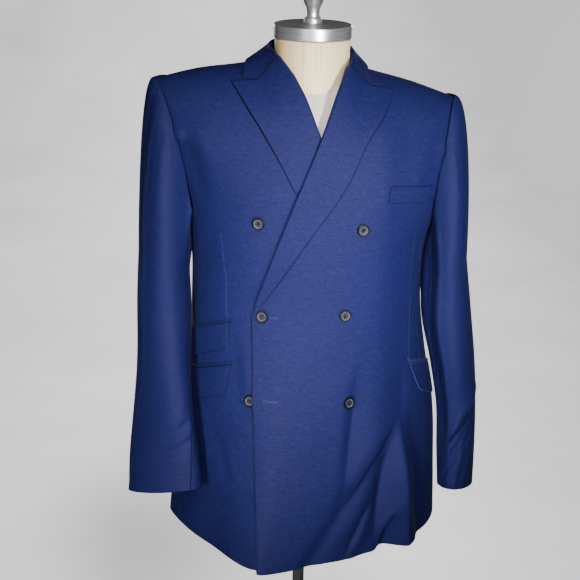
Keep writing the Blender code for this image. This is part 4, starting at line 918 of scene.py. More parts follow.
def blend_edges(foot, head, start, end):
    """A grid of points between four edges: foot and head run across, start and end run up."""
    rows, columns = len(start), len(foot)
    s = np.linspace(0, 1, columns)[None, :, None]
    t = np.linspace(0, 1, rows)[:, None, None]
    sides = (1 - s) * start[:, None] + s * end[:, None]
    ends = (1 - t) * foot[None] + t * head[None]
    low = (1 - s) * foot[0] + s * foot[-1]
    high = (1 - s) * head[0] + s * head[-1]
    return sides + ends - ((1 - t) * low + t * high)


def lengths_along(points):
    """How far along a line each of its points lies."""
    steps = np.linalg.norm(np.diff(points, axis=0), axis=1)
    return np.concatenate([[0], np.cumsum(steps)])


def spaced(points, count):
    """The same line again, as count points evenly far apart."""
    points = np.asarray(points, float)
    along = lengths_along(points)
    at = np.linspace(0, along[-1], count)
    return np.stack([np.interp(at, along, points[:, k]) for k in range(points.shape[1])], 1)


# ---------------------------------------------------------------- the coat's seams
def hem_rise(turn):
    """The rise of the hem at a turn."""
    height = smooth_rows(HEM, np.degrees(turn))[..., 0]
    return (height - CHEST) / ROLL


def seam_x(side, rise):
    """x of the seam between a front and its side piece."""
    return surface(np.full(np.shape(rise), side * SIDE_SEAM), rise)[..., 0]


def corner_rise():
    """The rise of the armhole's corner."""
    return (ARMHOLE_CORNER - CHEST) / ROLL


def armhole_x(side, share, back=False):
    """x of the armhole from its corner (share 0) to the shoulder point (share 1)."""
    tip = SHOULDER_POINT[side]
    if back:
        start = surface(side * BACK_SEAM, corner_rise())[0]
    else:
        start = float(seam_x(side, corner_rise()))
    even, late = ARMHOLE_CURVE[back]  # how much goes evenly, and how much only near the tip
    return start + (tip - start) * (even * share + late * share**4)


def armhole_rise(share):
    """The rise of the armhole from its corner (share 0) to the shoulder point (share 1)."""
    return corner_rise() + (math.pi / 2 - corner_rise()) * share


def armhole_stretch(side, back):
    """The armhole's edge on a front or a back, corner to shoulder, as x and rise."""
    share = np.linspace(0, 1, ARMHOLE_ROWS + 1)
    return np.stack([armhole_x(side, share, back), armhole_rise(share)], 1)


def underarm_stretch(side):
    """The armhole's edge on a side piece, from the front to the back, as turn and rise."""
    turn = np.linspace(SIDE_SEAM, BACK_SEAM, SIDE_COLUMNS + 1)
    middle = (SIDE_SEAM + BACK_SEAM) / 2
    dip = 1 - ((turn - middle) / (BACK_SEAM - middle)) ** 2
    height = ARMHOLE_CORNER - (ARMHOLE_CORNER - ARMHOLE_FOOT) * dip
    return np.stack([side * turn, (height - CHEST) / ROLL], 1)


def level_rises(turn):
    """The rises of the rows below the armhole's corner, at a turn."""
    low = hem_rise(turn)
    middle = (BREAK_HEIGHT - CHEST) / ROLL
    skirt = np.linspace(low, middle, SKIRT_ROWS + 1)
    return np.concatenate([skirt, np.linspace(middle, corner_rise(), WAIST_ROWS + 1)[1:]])


def front_inner_edge(side, rises):
    """x of a front's free edge, its roll line and then its neck edge, for each row's rise."""
    edge, roll, neck = FRONT_EDGE[side], ROLL_LINE[side], NECK_POINT[side]
    top_x, top_z = roll[-1, 1], roll[-1, 0]
    top_rise = float(rise_at(top_x, top_z))
    found = []
    for rise in rises:
        if rise >= top_rise:
            share = (rise - top_rise) / (math.pi / 2 - top_rise)
            found.append(top_x + (neck - top_x) * share**0.8)
            continue
        x = top_x
        for _ in range(4):
            z = surface(turn_at(x, rise), rise)[2]
            table = edge if z < BREAK_HEIGHT else roll
            x = float(smooth_rows(table, z)[0])
        found.append(x)
    return np.array(found)


def over_lift(x, rise):
    """How far the over front lies out: clear of the under front and lapel, then down to none."""
    points = surface(turn_at(x, rise), rise)
    away = np.hypot(points[..., 0] - LIFT_X, points[..., 2] - LIFT_Z) / LIFT_RADIUS
    covers = 1 - smooth_step(x, *COVERS_TO_X)
    covers = covers * (1 - smooth_step(points[..., 2], *COVERS_TO_Z))
    return OVER_FRONT * covers + LIFT * np.exp(-(away**2))


def front_grid(side):
    """The front's points, rows from the hem to the shoulder seam, columns to the armhole."""
    seam_rises = level_rises(side * SIDE_SEAM)
    armhole = armhole_stretch(side, back=False)
    outer_rise = np.concatenate([seam_rises, armhole[1:, 1]])
    outer_x = np.concatenate([seam_x(side, seam_rises), armhole[1:, 0]])
    edge_turn = float(turn_at(FRONT_EDGE[side][0, 1], outer_rise[0]))
    inner_rise = outer_rise.copy()
    low = level_rises(edge_turn)
    inner_rise[: len(low)] = low
    inner_x = front_inner_edge(side, inner_rise)
    share = np.linspace(0, 1, FRONT_COLUMNS)[None]
    share = np.sin(share * math.pi / 2) ** CROWD_POWER * CROWDED + share * (1 - CROWDED)
    x = inner_x[:, None] * (1 - share) + outer_x[:, None] * share
    rise = inner_rise[:, None] * (1 - share) + outer_rise[:, None] * share
    turns = turn_at(x[0], rise[0])
    rise[0] = hem_rise(turns)
    if side < 0:
        rise[0] += UNDER_HEM_RISE / ROLL * smooth_step(turns, *UNDER_HEM_TURNS)
    return on_face(x, rise, over_lift(x, rise) if side > 0 else 0.0)


def side_grid(side):
    """A side piece's points: rows from the hem to the underarm, columns from front to back."""
    top = underarm_stretch(side)
    columns = []
    for turn, rise in top:
        rises = level_rises(turn)
        rises = rises[0] + (rises - rises[0]) * (rise - rises[0]) / (rises[-1] - rises[0])
        columns.append(on_coat(np.full(len(rises), turn), rises, 0.0))
    return np.stack(columns, 1)


def back_neck_rise(x):
    """The rise of the neck edge on a back: level behind the neck, up to the neck point."""
    return rise_at(x, BACK_NECK_HEIGHT, back=True)


def back_grid(side):
    """A back's points: rows from the hem to the neck and shoulder, columns from the centre."""
    seam_rises = level_rises(side * BACK_SEAM)
    armhole = armhole_stretch(side, back=True)
    outer_rise = np.concatenate([seam_rises, armhole[1:, 1]])
    seam = surface(np.full(len(seam_rises), side * BACK_SEAM), seam_rises)[:, 0]
    outer_x = np.concatenate([seam, armhole[1:, 0]])
    outer = np.stack([outer_x, outer_rise], 1)
    middle_low = level_rises(math.pi)
    neck_rise = float(back_neck_rise(0.0))
    above = np.linspace(corner_rise(), neck_rise, ARMHOLE_ROWS + 1)[1:]
    middle_rise = np.concatenate([middle_low, above])
    middle = np.stack([np.zeros_like(middle_rise), middle_rise], 1)
    neck_x = NECK_POINT[side]
    tip_x = armhole[-1, 0]
    neck = np.linspace(0, neck_x, NECK_COLUMNS + 1)[:-1]
    neck = np.stack([neck, back_neck_rise(neck)], 1)
    shoulder = neck_x + (tip_x - neck_x) * np.linspace(0, 1, BACK_COLUMNS) ** SHOULDER_POWER
    shoulder = np.stack([shoulder, np.full(BACK_COLUMNS, math.pi / 2)], 1)
    head = np.concatenate([neck, shoulder])
    foot_x = np.linspace(0, outer_x[0], len(head))
    foot_rise = hem_rise(turn_at(foot_x, np.full(len(head), outer_rise[0]), back=True))
    foot = np.stack([foot_x, foot_rise], 1)
    both = blend_edges(foot, head, middle, outer)
    return on_face(both[..., 0], both[..., 1], 0.0, back=True)


# ---------------------------------------------------------------- sleeves
def armhole_loop(side):
    """The armhole once round, from the shoulder point down the front and up the back."""
    front = armhole_stretch(side, back=False)[::-1]
    under = underarm_stretch(side)[1:]
    back = armhole_stretch(side, back=True)[1:]
    turns = np.concatenate([
        turn_at(front[:, 0], front[:, 1]), under[:, 0], turn_at(back[:, 0], back[:, 1], True)
    ])
    rises = np.concatenate([front[:, 1], under[:, 1], back[:, 1]])
    return turns, rises


def sleeve_ring(side, row, angle):
    """One level of a sleeve: an oval whose front end is turned in towards the body."""
    height, centre_x, centre_y, long, short, turn, tilt, twist = row
    turn = math.radians(turn)
    angle = angle + math.radians(twist)
    out = np.array([side * math.cos(turn), -math.sin(turn)])
    front = np.array([-side * math.sin(turn), -math.cos(turn)])
    flat = np.cos(angle)[:, None] * out * short + np.sin(angle)[:, None] * front * long
    z = height + tilt * np.sin(angle)
    return np.column_stack([flat[:, 0] + centre_x, flat[:, 1] + centre_y, z])


def sleeve_grid(side):
    """A sleeve's points: rows from the armhole to the cuff, columns once round.

    From the armhole each line of points leaves outwards and turns down to the first oval along
    a quarter of a superellipse, and from there the ovals of the table carry it to the cuff.
    """
    table = SLEEVE[side]
    turns, rises = armhole_loop(side)
    along = lengths_along(on_coat(turns, rises, 0.0))
    foot = ARMHOLE_ROWS + SIDE_COLUMNS // 2
    angle = np.concatenate([
        math.pi * along[: foot + 1] / along[foot],
        math.pi + math.pi * (along[foot + 1 :] - along[foot]) / (along[-1] - along[foot]),
    ])
    under = 1 - np.abs(angle - math.pi) / math.pi
    seat = SLEEVE_SEAT + (UNDERARM_SEAT - SLEEVE_SEAT) * smooth_step(under, *SEAT_DEEPENS)
    start = on_coat(turns, rises, seat)
    first = sleeve_ring(side, table[0], angle)
    corner = np.column_stack([first[:, :2], start[:, 2] + HEAD_RISE * np.cos(angle).clip(0)])
    quarter = np.linspace(0, math.pi / 2, CAP_ROWS + 1)[:, None, None]
    swing, fall = np.sin(quarter) ** CAP_SQUARE, np.cos(quarter) ** CAP_SQUARE
    cap = start + first - corner + (corner - first) * fall + (corner - start) * swing
    straight = start + (first - start) * np.linspace(0, 1, CAP_ROWS + 1)[:, None, None]
    cap += (straight - cap) * smooth_step(under, *CAP_STRAIGHTENS)[None, :, None]
    heights = np.linspace(table[0, 0], table[-1, 0], ARM_ROWS + 1)[1:]
    order = np.argsort(table[:, 0])
    arm = []
    for height in heights:
        row = np.concatenate([[height], smooth_rows(table[order], height)])
        arm.append(sleeve_ring(side, row, angle))
    grid = np.concatenate([cap, np.stack(arm)])
    return grid + sleeve_creases(side, grid, angle)


def sleeve_creases(side, grid, angle):
    """The sleeve's largest creases, as steps towards or away from its middle line."""
    middle = grid.mean(1, keepdims=True)
    outward = unit((grid - middle) * [1, 1, 0])
    degrees = np.degrees(angle)[None] + 0 * grid[..., 2]
    push = np.zeros(grid.shape[:2])
    for angle_0, z_0, angle_1, z_1, half_width, depth in ARM_CREASES[side]:
        run = np.array([(angle_1 - angle_0) * ARC, z_1 - z_0])
        share, off = beside((degrees - angle_0) * ARC, grid[..., 2] - z_0, run)
        ends = smooth_step(share, *ARM_CREASE_STARTS)
        ends = ends * (1 - smooth_step(share, *ARM_CREASE_ENDS))
        push += depth * np.exp(-((off / half_width) ** 2)) * ends
    return outward * push[..., None]


# ---------------------------------------------------------------- lapels and collar
def on_front(side, points, out):
    """Points given as x and z on a front, moved out from the front's own inner side."""
    points = np.asarray(points, float)
    x = points[..., 0]
    rise = rise_at(x, points[..., 1])
    return on_face(x, rise, out + (over_lift(x, rise) if side > 0 else 0.0))


def line_of(table, foot):
    """A line given as z and x, from a foot to the table's last row, as many x and z."""
    heights = np.linspace(foot, table[-1, 0], LINE_POINTS)
    return np.column_stack([smooth_rows(table, heights)[:, 0], heights])


def gorge_line(head):
    """A lapel's head: GORGE_COLUMNS steps along the gorge, then the rest to the peak."""
    gorge = spaced(head[:2], GORGE_COLUMNS + 1)
    return np.concatenate([gorge, spaced(head[1:], LAPEL_COLUMNS - GORGE_COLUMNS + 1)[1:]])


def lapel_grid(side):
    """A lapel's points: rows from the break to the gorge, columns from the roll to the edge."""
    head = LAPEL_HEAD[side]
    rolled, outer = line_of(ROLL_LINE[side], LAPEL_FOOT), line_of(LAPEL_EDGE[side], LAPEL_FOOT)
    start = spaced(np.concatenate([rolled, head[:1]]), LAPEL_ROWS + 1)
    end = spaced(outer, LAPEL_ROWS + 1)
    top = gorge_line(head)
    foot = np.linspace(start[0], end[0], LAPEL_COLUMNS + 1)
    flat = blend_edges(foot, top, start, end)
    share = np.linspace(0, 1, LAPEL_COLUMNS + 1)[None]
    up = smooth_step(flat[..., 1], *ROLL_STANDS)
    away = LAPEL_STAND * smooth_step(flat[..., 1], *LAPEL_STANDS[side])
    return on_front(side, flat, ON_PANEL + away + ROLL_STAND * up * (1 - share) ** 2)


def collar_end(side):
    """The collar's end: from the roll line along the gorge to the notch, then to its tip."""
    gorge = gorge_line(LAPEL_HEAD[side])[: GORGE_COLUMNS + 1]
    flat = np.concatenate([gorge, [COLLAR_TIP[side]]])
    flat[:, 1] += GORGE_GAP
    share = np.linspace(0, 1, COLLAR_COLUMNS + 1)
    return on_front(side, flat, ON_PANEL + LAPEL_STAND + ROLL_STAND * (1 - share) ** 2)


def on_shoulder(x, y, out):
    """The point over x and y on the coat's shoulders, front or back, moved out."""
    low, high = np.zeros_like(x), np.full_like(x, math.pi)
    for _ in range(HALVINGS):
        middle = (low + high) / 2
        back = middle > math.pi / 2
        rise = np.where(back, math.pi - middle, middle)
        ahead = surface(turn_at(x, rise), rise)[:, 1]
        behind = surface(turn_at(x, rise, True), rise)[:, 1]
        short = np.where(back, behind, ahead) < y
        low, high = np.where(short, middle, low), np.where(short, high, middle)
    return np.where(back[:, None], on_face(x, rise, out, True), on_face(x, rise, out))


def collar_grid():
    """The collar's fall: rows from the right end round the neck, columns roll to outer edge."""
    along = np.linspace(-1, 1, COLLAR_ROWS + 1)
    lines = smooth_rows(COLLAR, along)
    roll, edge = lines[:, 0:3], on_shoulder(lines[:, 6], lines[:, 7], ON_PANEL + LAPEL_STAND)
    first, last = collar_end(-1), collar_end(1)
    share = np.linspace(0, 1, COLLAR_COLUMNS + 1)[None, :, None]
    grid = roll[:, None] * (1 - share) + edge[:, None] * share
    at = along[:, None, None]
    grid += (first - grid[0]) * (1 - smooth_step(at, -1, -1 + END_REACH))
    grid += (last - grid[-1]) * smooth_step(at, 1 - END_REACH, 1)
    outward = unit(grid * [1, 1, 0])
    return grid + outward * COLLAR_BULGE * 4 * share * (1 - share)


# ---------------------------------------------------------------- pockets and buttons
def pocket_grid(row, top, foot, columns, rows, out):
    """A strip on a front: from its top to its foot below the pocket's slanting line."""
    _, turn_0, turn_1, height, slope, lean = row
    across = np.linspace(0, 1, columns + 1)[None]
    down = np.linspace(top, foot, rows + 1)[:, None]
    turn = np.radians(turn_0 + (turn_1 - turn_0) * across + lean * down * (1 - across))
    corner = 0.0
    if foot > FLAP_CORNER:
        corner = FLAP_CORNER * (1 - smooth_step(across, 0.0, CORNER_SHARE))
    drop = down * (1 - corner / max(foot, 1e-6))
    z = height - slope * across - drop
    rise = np.where(z < CHEST, (z - CHEST) / ROLL, 0.0)
    return on_coat(turn, rise, out)


def welt_grid():
    """The breast pocket's welt."""
    low, high = WELT_FOOT, WELT_FOOT + [[WELT_LEAN, WELT_HEIGHT], [0.0, WELT_HEIGHT]]
    share = np.linspace(0, 1, WELT_COLUMNS + 1)[:, None]
    bottom, top = low[0] + (low[1] - low[0]) * share, high[0] + (high[1] - high[0]) * share
    flat = np.stack([bottom, (bottom + top) / 2, top])
    return on_front(1, flat, ON_PANEL)


def button_place(side, x, z):
    """Where a button stands: its back on the front's own facet and its axis square to it."""
    grid = FRONT_FINE[side]
    cells = quads(np.arange(grid[..., 0].size).reshape(grid.shape[:2]))
    facets = BVHTree.FromPolygons(grid.reshape(-1, 3).tolist(), cells.tolist())
    place, normal, _, _ = facets.ray_cast(Vector((x, -1.0, z)), Vector((0.0, 1.0, 0.0)))
    if normal.y > 0:
        normal.negate()
    turn = normal.to_track_quat("Z", "Y").to_matrix().to_4x4()
    return Matrix.Translation(place + normal * (WALL + FIT)) @ turn


# %% [markdown]
# ## Rolled edges


# %% Rolled edges
ROLL_COLUMNS = 9
ROLL_RADIUS = (0.0008, 0.0045)  # the least and the most of a lapel's roll
COLLAR_ROLL = 0.0016  # radius of the half round over the collar's roll line
LAPEL_LIFT = 0.0040  # the outer edge of a lapel stands this far off the front
LIFT_START = {1: (0.02, 0.2), -1: (0.58, 0.74)}  # the under lapel's lower part lies covered
LIFT_END = (0.86, 0.99)


def rolled_lapel(side):
    """The lapel's grid with a half round roll before its first column, from the front's edge."""
    grid = lapel_grid(side)
    inward = unit(grid[:, 1] - grid[:, 0])
    up = unit(np.cross(inward, np.gradient(grid[:, 0], axis=0)))
    if (up[:, 1] > 0).mean() > 0.5:
        up = -up
    roll = line_of(ROLL_LINE[side], LAPEL_FOOT)
    flat = spaced(np.concatenate([roll, LAPEL_HEAD[side][:1]]), LAPEL_ROWS + 1)
    front = on_front(side, flat, 0.0)
    rise_by = ((grid[:, 0] - front) * up).sum(-1, keepdims=True)
    radius = np.clip(rise_by / 2, *ROLL_RADIUS)
    angle = np.linspace(-math.pi / 2, math.pi / 2, ROLL_COLUMNS)[:-1][None, :, None]
    centre = (grid[:, 0] - up * radius)[:, None]
    arc = centre - inward[:, None] * radius[:, None] * np.cos(angle)
    arc = arc + up[:, None] * radius[:, None] * np.sin(angle)
    share = np.linspace(0, 1, grid.shape[1])[None]
    level = np.linspace(0, 1, grid.shape[0])[:, None]
    lift = LAPEL_LIFT * share**2 * smooth_step(level, *LIFT_START[side])
    lift = lift * (1 - smooth_step(level, *LIFT_END))
    return np.concatenate([arc, grid + up[:, None] * lift[..., None]], 1)


def folded_collar():
    """The collar as one piece: up the stand, half round at the roll, and down the fall."""
    fall = collar_grid()
    along = np.linspace(-1, 1, COLLAR_ROWS + 1)
    lines = smooth_rows(COLLAR, along * STAND_REACH)
    seam = lines[:, 3:6]
    outward = unit(fall[:, 0] * [1, 1, 0])
    top = fall[:, 0] - outward * 2 * COLLAR_ROLL
    share = np.linspace(0, 1, STAND_COLUMNS + 1)[None, :-1, None]
    stand = seam[:, None] * (1 - share) + top[:, None] * share
    centre = (fall[:, 0] + top) / 2
    angle = np.linspace(math.pi, 0, ROLL_COLUMNS)[None, :-1, None]
    arc = centre[:, None] + outward[:, None] * COLLAR_ROLL * np.cos(angle)
    arc = arc + np.array([0, 0, 1.0]) * COLLAR_ROLL * np.sin(angle)
    return np.concatenate([stand, arc, fall], 1)


print("lapels roll over", ROLL_COLUMNS, "lines")

# %% [markdown]
# ## From grids to cloth
#
# A piece of cloth is a closed thin body: its outer and inner sides stand half a wall from the
# middle surface, and meet in a rounded edge all round.


# %% The cloth maker
EDGE_LINES = (0.00012, 0.0004, 0.0009)  # extra grid lines beside each edge, for its rounding
EDGE_ROUND = 0.0010
pieces_made = []


def densified(grid, axis):
    """The grid with extra lines close to both of its edges across an axis, by interpolation."""
    grid = np.moveaxis(grid, axis, 0)
    steps = np.linalg.norm(np.diff(grid, axis=0), axis=-1).mean(1)
    along = np.concatenate([[0], np.cumsum(steps)])
    near = [d for d in EDGE_LINES if d < along[1] * 0.9]
    far = [d for d in EDGE_LINES if d < (along[-1] - along[-2]) * 0.9]
    at = np.sort(np.concatenate([along, near, along[-1] - np.array(far)]))
    place = np.interp(at, along, np.arange(len(along)))
    low = np.clip(place.astype(int), 0, len(along) - 2)
    t = (place - low)[:, None, None]
    return np.moveaxis(grid[low] * (1 - t) + grid[low + 1] * t, 0, axis)


def ways(grid):
    """Distances along the cloth from each edge: first row, last row, first and last column."""
    down = np.linalg.norm(np.diff(grid, axis=0), axis=-1)
    down = np.concatenate([np.zeros((1, grid.shape[1])), np.cumsum(down, 0)])
    over = np.linalg.norm(np.diff(grid, axis=1), axis=-1)
    over = np.concatenate([np.zeros((grid.shape[0], 1)), np.cumsum(over, 1)], 1)
    return down, down[-1:] - down, over, over[:, -1:] - over


def normals(grid):
    """Unit normals of a grid surface."""
    return unit(np.cross(np.gradient(grid, axis=1), np.gradient(grid, axis=0)))


def quads(index):
    """The four corners of each cell of a grid of vertex numbers."""
    corners = (index[:-1, :-1], index[:-1, 1:], index[1:, 1:], index[1:, :-1])
    return np.stack(corners, -1).reshape(-1, 4)


DARTS = {  # z and x down each dart, on the over front and the under front
    1: np.array([[1.0450, 0.1589], [1.1239, 0.1584], [1.1734, 0.1579], [1.2229, 0.1589],
                 [1.2549, 0.1626]]),
    -1: np.array([[1.0700, -0.1262], [1.1206, -0.1273], [1.1818, -0.1289], [1.2085, -0.1332],
                  [1.2565, -0.1376]]),
}
DART_REACH = 0.02


def dart_offset(points):
    """The way across from the nearer front's dart, no more than DART_REACH, for each point."""
    x, z = points[..., 0], points[..., 2]
    off = np.full(x.shape, DART_REACH)
    for side, line in DARTS.items():
        away = np.clip(x - np.interp(z, line[:, 0], line[:, 1]), -DART_REACH, DART_REACH)
        inside = (z > line[0, 0]) & (z < line[-1, 0]) & (x * side > 0.1) & (points[..., 1] < 0)
        off = np.where(inside, away, off)
    return off


def linked(name, points, faces, material):
    """A smooth object of the scene from points and faces."""
    mesh = bpy.data.meshes.new(name)
    mesh.from_pydata(points, [], faces)
    mesh.materials.append(material)
    mesh.shade_smooth()
    made = bpy.data.objects.new(name, mesh)
    scene.collection.objects.link(made)
    return made


def carry(made, name, values):
    """Gives the object's mesh a number for each of its points."""
    carried = made.data.attributes.new(name, "FLOAT", "POINT")
    carried.data.foreach_set("value", values.astype(np.float32))


def mesh_object(name, points, faces, material, maps):
    """An object from points and faces, smooth, with its UV maps read at the points."""
    made = linked(name, points.tolist(), faces.tolist(), material)
    for label, values in maps.items():
        layer = made.data.uv_layers.new(name=label)
        layer.data.foreach_set("uv", values[faces.ravel()].ravel().astype(np.float32))
    carry(made, "dart", dart_offset(points))
    return made


def cloth(name, grid, wall, away_from, nodes, stitched=(),
          level="first_row"):
    """A closed piece of cloth whose inner side is the grid and whose wall grows outwards.

    stitched names the edges with pick stitching: first_row, last_row, first_column, last_column.
    A trim is declared with the piece that carries it, through that piece's trims. The threads
    The threads that run across the piece follow the edge named by level.
    """
    grid = densified(densified(grid, 0), 1)
    facing = normals(grid)
    if (facing * (grid - away_from)).sum() < 0:
        grid = grid[:, ::-1]
        facing = normals(grid)
        swap = {"first_column": "last_column", "last_column": "first_column"}
        stitched = [swap.get(word, word) for word in stitched]
    edges = dict(zip(("first_row", "last_row", "first_column", "last_column"), ways(grid)))
    to_edge = np.minimum.reduce(list(edges.values()))
    half = wall / 2 * np.sqrt(1 - (1 - np.clip(to_edge / EDGE_ROUND, 0, 1)) ** 2)
    middle = grid + facing * wall / 2
    rows, columns = grid.shape[:2]
    outer = np.arange(rows * columns).reshape(rows, columns)
    inner = outer.copy()
    within = np.arange((rows - 2) * (columns - 2)).reshape(rows - 2, -1)
    inner[1:-1, 1:-1] = rows * columns + within
    points = np.concatenate([
        (middle + facing * half[..., None]).reshape(-1, 3),
        (middle - facing * half[..., None])[1:-1, 1:-1].reshape(-1, 3),
    ])
    weave = np.stack([edges["first_column"], edges[level]], -1)
    weave[..., 0] -= weave[:, -1:, 0] / 2
    rim = np.ones((rows, columns, 2))
    for word in edges:
        other = edges["first_column" if word.endswith("row") else "first_row"]
        if word not in stitched:
            other = np.full_like(other, STITCH_STEP / 2)
        nearer = edges[word] < rim[..., 0]
        rim = np.where(nearer[..., None], np.stack([edges[word], other], -1), rim)

    def both(values):
        return np.concatenate([values.reshape(-1, 2), values[1:-1, 1:-1].reshape(-1, 2)])

    faces = np.concatenate([quads(outer), quads(inner)[:, ::-1]])
    made = mesh_object(name, points, faces, WOOL, {"weave": both(weave), "edge": both(rim)})
    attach(made, "root")
    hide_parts(*nodes)
    a, b, c, d = (middle.reshape(-1, 3)[quads(outer)[:, k]] for k in range(4))
    area = float(np.linalg.norm(np.cross(c - a, d - b), axis=-1).sum() / 2)
    width = float(edges["first_column"][:, -1].max())
    length = float(edges["first_row"][-1].max())
    pieces_made.append((name, width, length, area))
    return made


print("cloth maker ready: edges rounded over", EDGE_ROUND * 1000, "mm")

# %% [markdown]
# ## Panels
#
# Fronts, sides and backs, each on a fine grid with every fold and dart in it.

# %% Panels
axis_point = np.array([0.0, 0.0, 1.0])
for side, word in ((1, "left"), (-1, "right")):
    grid = set_back(front_grid(side), last_row=SEAM, last_column=SEAM)
    cloth(f"panel_front_{word}", grid, WALL, axis_point, [f"front_{word}"],
          stitched=("first_column", "first_row"))
    grid = set_back(side_grid(side), last_row=SEAM, first_column=SEAM, last_column=SEAM)
    cloth(f"panel_side_{word}", grid, WALL, axis_point, [f"side_{word}"])
    grid = set_back(back_grid(side), last_row=SEAM, first_column=SEAM, last_column=SEAM)
    cloth(f"panel_back_{word}", grid, WALL, axis_point, [f"back_{word}"])
print("six panels")

# %% [markdown]
# ## Sleeves
#
# Two-piece sleeves, with the creases that a bent arm leaves at the elbow.

# %% Sleeves
for side, word in ((1, "left"), (-1, "right")):
    grid = sleeve_grid(side)
    table = SLEEVE[side]
    centre = np.array([table[:, 1].mean(), table[:, 2].mean(), 1.0])
    hind, fore = HIND_SEAM[word], FORE_SEAM[word]
    top = set_back(grid[:, hind:fore + 1], first_column=SEAM, last_column=SEAM)
    cloth(f"sleeve_top_{word}", top, WALL, centre, [f"top_sleeve_{word}"], level="last_row")
    under = np.concatenate([grid[:, fore:], grid[:, 1:hind + 1]], 1)
    under = set_back(under, first_column=SEAM, last_column=SEAM)
    cloth(f"sleeve_under_{word}", under, WALL, centre, [f"under_sleeve_{word}"], level="last_row")
print("two sleeves of two pieces")

# %% [markdown]
# ## Lapels and collar
#
# A lapel is the front's own facing folded out along the roll line, so its grid starts with a
# half round roll. The collar is one piece from its neck seam up the stand, over and down.

# %% Lapels and collar
for side, word in ((1, "left"), (-1, "right")):
    grid = set_back(rolled_lapel(side), last_row=SEAM)
    cloth(f"lapel_facing_{word}", grid, LAPEL_WALL, axis_point, [f"lapel_{word}"],
          stitched=("last_column", "last_row"))
cloth("collar_folded", set_back(folded_collar(), first_row=SEAM, last_row=SEAM), LAPEL_WALL,
      np.array([0.0, 0.0, 1.46]), ["collar", "collar_stand"], stitched=("last_column",))
print("lapels and collar")

# %% [markdown]
# ## Pockets
#
# Slanted flaps under narrow jets, and the breast welt.

# %% Pockets
for row in POCKETS:
    grid = pocket_grid(row, -JET_TOP, -JET_FOOT, FLAP_COLUMNS, JET_ROWS, ON_PANEL)
    jet = cloth(f"pocket_jet_{row[0]}", grid, TRIM_WALL, axis_point, [f"jet_{row[0]}"])
    grid = pocket_grid(row, 0.0, FLAP_DEPTH[row[0]], FLAP_COLUMNS, FLAP_ROWS, ON_PANEL)
    flap = cloth(f"pocket_flap_{row[0]}", grid, TRIM_WALL, axis_point, [f"flap_{row[0]}"],
                 stitched=("first_row", "last_row", "first_column"))
    # Painted highlight: this flap and its jet get pale stitches and a pale edge band.
    if row[0] == "left":
        for piece in (flap, jet):
            carry(piece, "painted_edge_highlight", np.ones(len(piece.data.vertices)))
cloth("pocket_welt", welt_grid(), TRIM_WALL, axis_point, ["breast_welt"],
      stitched=("first_column", "last_column"))
print("three flaps, three jets and a welt")

# %% [markdown]
# ## Buttons
#
# Each button is turned about its own axis: a dished face with four holes and a raised rim, its
# shank of thread below and a cross of thread through the holes.


# %% Buttons
def revolved(radius, height, steps):
    """A grid spun about Z: rows down the profile, columns once round without a repeat."""
    angle = np.linspace(0, 2 * math.pi, steps, endpoint=False)[None]
    radius, height = np.asarray(radius)[:, None], np.asarray(height)[:, None]
    x, y = radius * np.cos(angle), radius * np.sin(angle)
    return np.stack([x, y, height + 0 * angle], -1)


def round_body(name, grid, material):
    """A closed body from a spun grid, whose first and last rows are brought to one point."""
    rows, columns = grid.shape[:2]
    index = np.arange(rows * columns).reshape(rows, columns)
    faces = quads(once_round(index))[:, ::-1]
    points = np.concatenate([grid.reshape(-1, 3), grid[0].mean(0)[None], grid[-1].mean(0)[None]])
    ring, turned_ring = index, np.roll(index, -1, 1)
    tip, foot = rows * columns, rows * columns + 1
    fans = [(tip, a, b) for a, b in zip(ring[0], turned_ring[0])]
    fans += [(foot, b, a) for a, b in zip(ring[-1], turned_ring[-1])]
    faces = faces.tolist() + [tuple(map(int, fan)) for fan in fans]
    return linked(name, points.tolist(), faces, material)


HOLE_RING, HOLE_RADIUS, HOLE_DEPTH = 0.0024, 0.00075, 0.0016
HOLE_SLOPE = (0.7 * HOLE_RADIUS, 1.3 * HOLE_RADIUS)  # a hole's wall leans between these radii
CROSS_POINTS, CROSS_RISE, CROSS_DIP = 15, 0.0005, 0.0014
BUTTON_LINES = 44
BUTTON_AROUND = 96


def button_grid():
    """The button's profile, smoothed and spun, with its four holes pressed into its face."""
    profile = np.array(BUTTON_PROFILE)
    face = profile[:6]
    radius = np.concatenate([
        np.linspace(0.0002, face[-1, 0], BUTTON_LINES), profile[6:9, 0], [profile[9, 0] + 1e-5],
    ])
    height = np.concatenate([np.interp(radius[:BUTTON_LINES], face[:5, 0], face[:5, 1]),
                             profile[6:9, 1], [profile[9, 1]]])
    height[BUTTON_LINES - 1] = face[-1, 1]
    grid = revolved(radius, height, BUTTON_AROUND)
    top = grid[:BUTTON_LINES]
    for quarter in range(4):
        turn = math.pi / 4 + quarter * math.pi / 2
        off = np.hypot(top[..., 0] - HOLE_RING * math.cos(turn),
                       top[..., 1] - HOLE_RING * math.sin(turn))
        top[..., 2] -= HOLE_DEPTH * (1 - smooth_step(off, *HOLE_SLOPE))
    return grid


def tubes(lines, radius=0.0008, sides=8):
    """Tubes along lines of points, as one list of points and faces."""
    every, faces, start = [], [], 0
    for line in lines:
        line = np.asarray(line, float)
        run = unit(np.gradient(line, axis=0))
        side_way = unit(np.cross(run, [0.0, 0.0, 1.0]))
        other = np.cross(side_way, run)
        angle = np.linspace(0, 2 * math.pi, sides, endpoint=False)[None, :, None]
        ring = line[:, None] + radius * (np.cos(angle) * side_way[:, None]
                                         + np.sin(angle) * other[:, None])
        index = np.arange(ring.shape[0] * sides).reshape(-1, sides) + start
        faces += quads(once_round(index)).tolist()
        faces += [index[0].tolist(), index[-1, ::-1].tolist()]
        every.append(ring.reshape(-1, 3))
        start += ring.shape[0] * sides
    return np.concatenate(every), faces


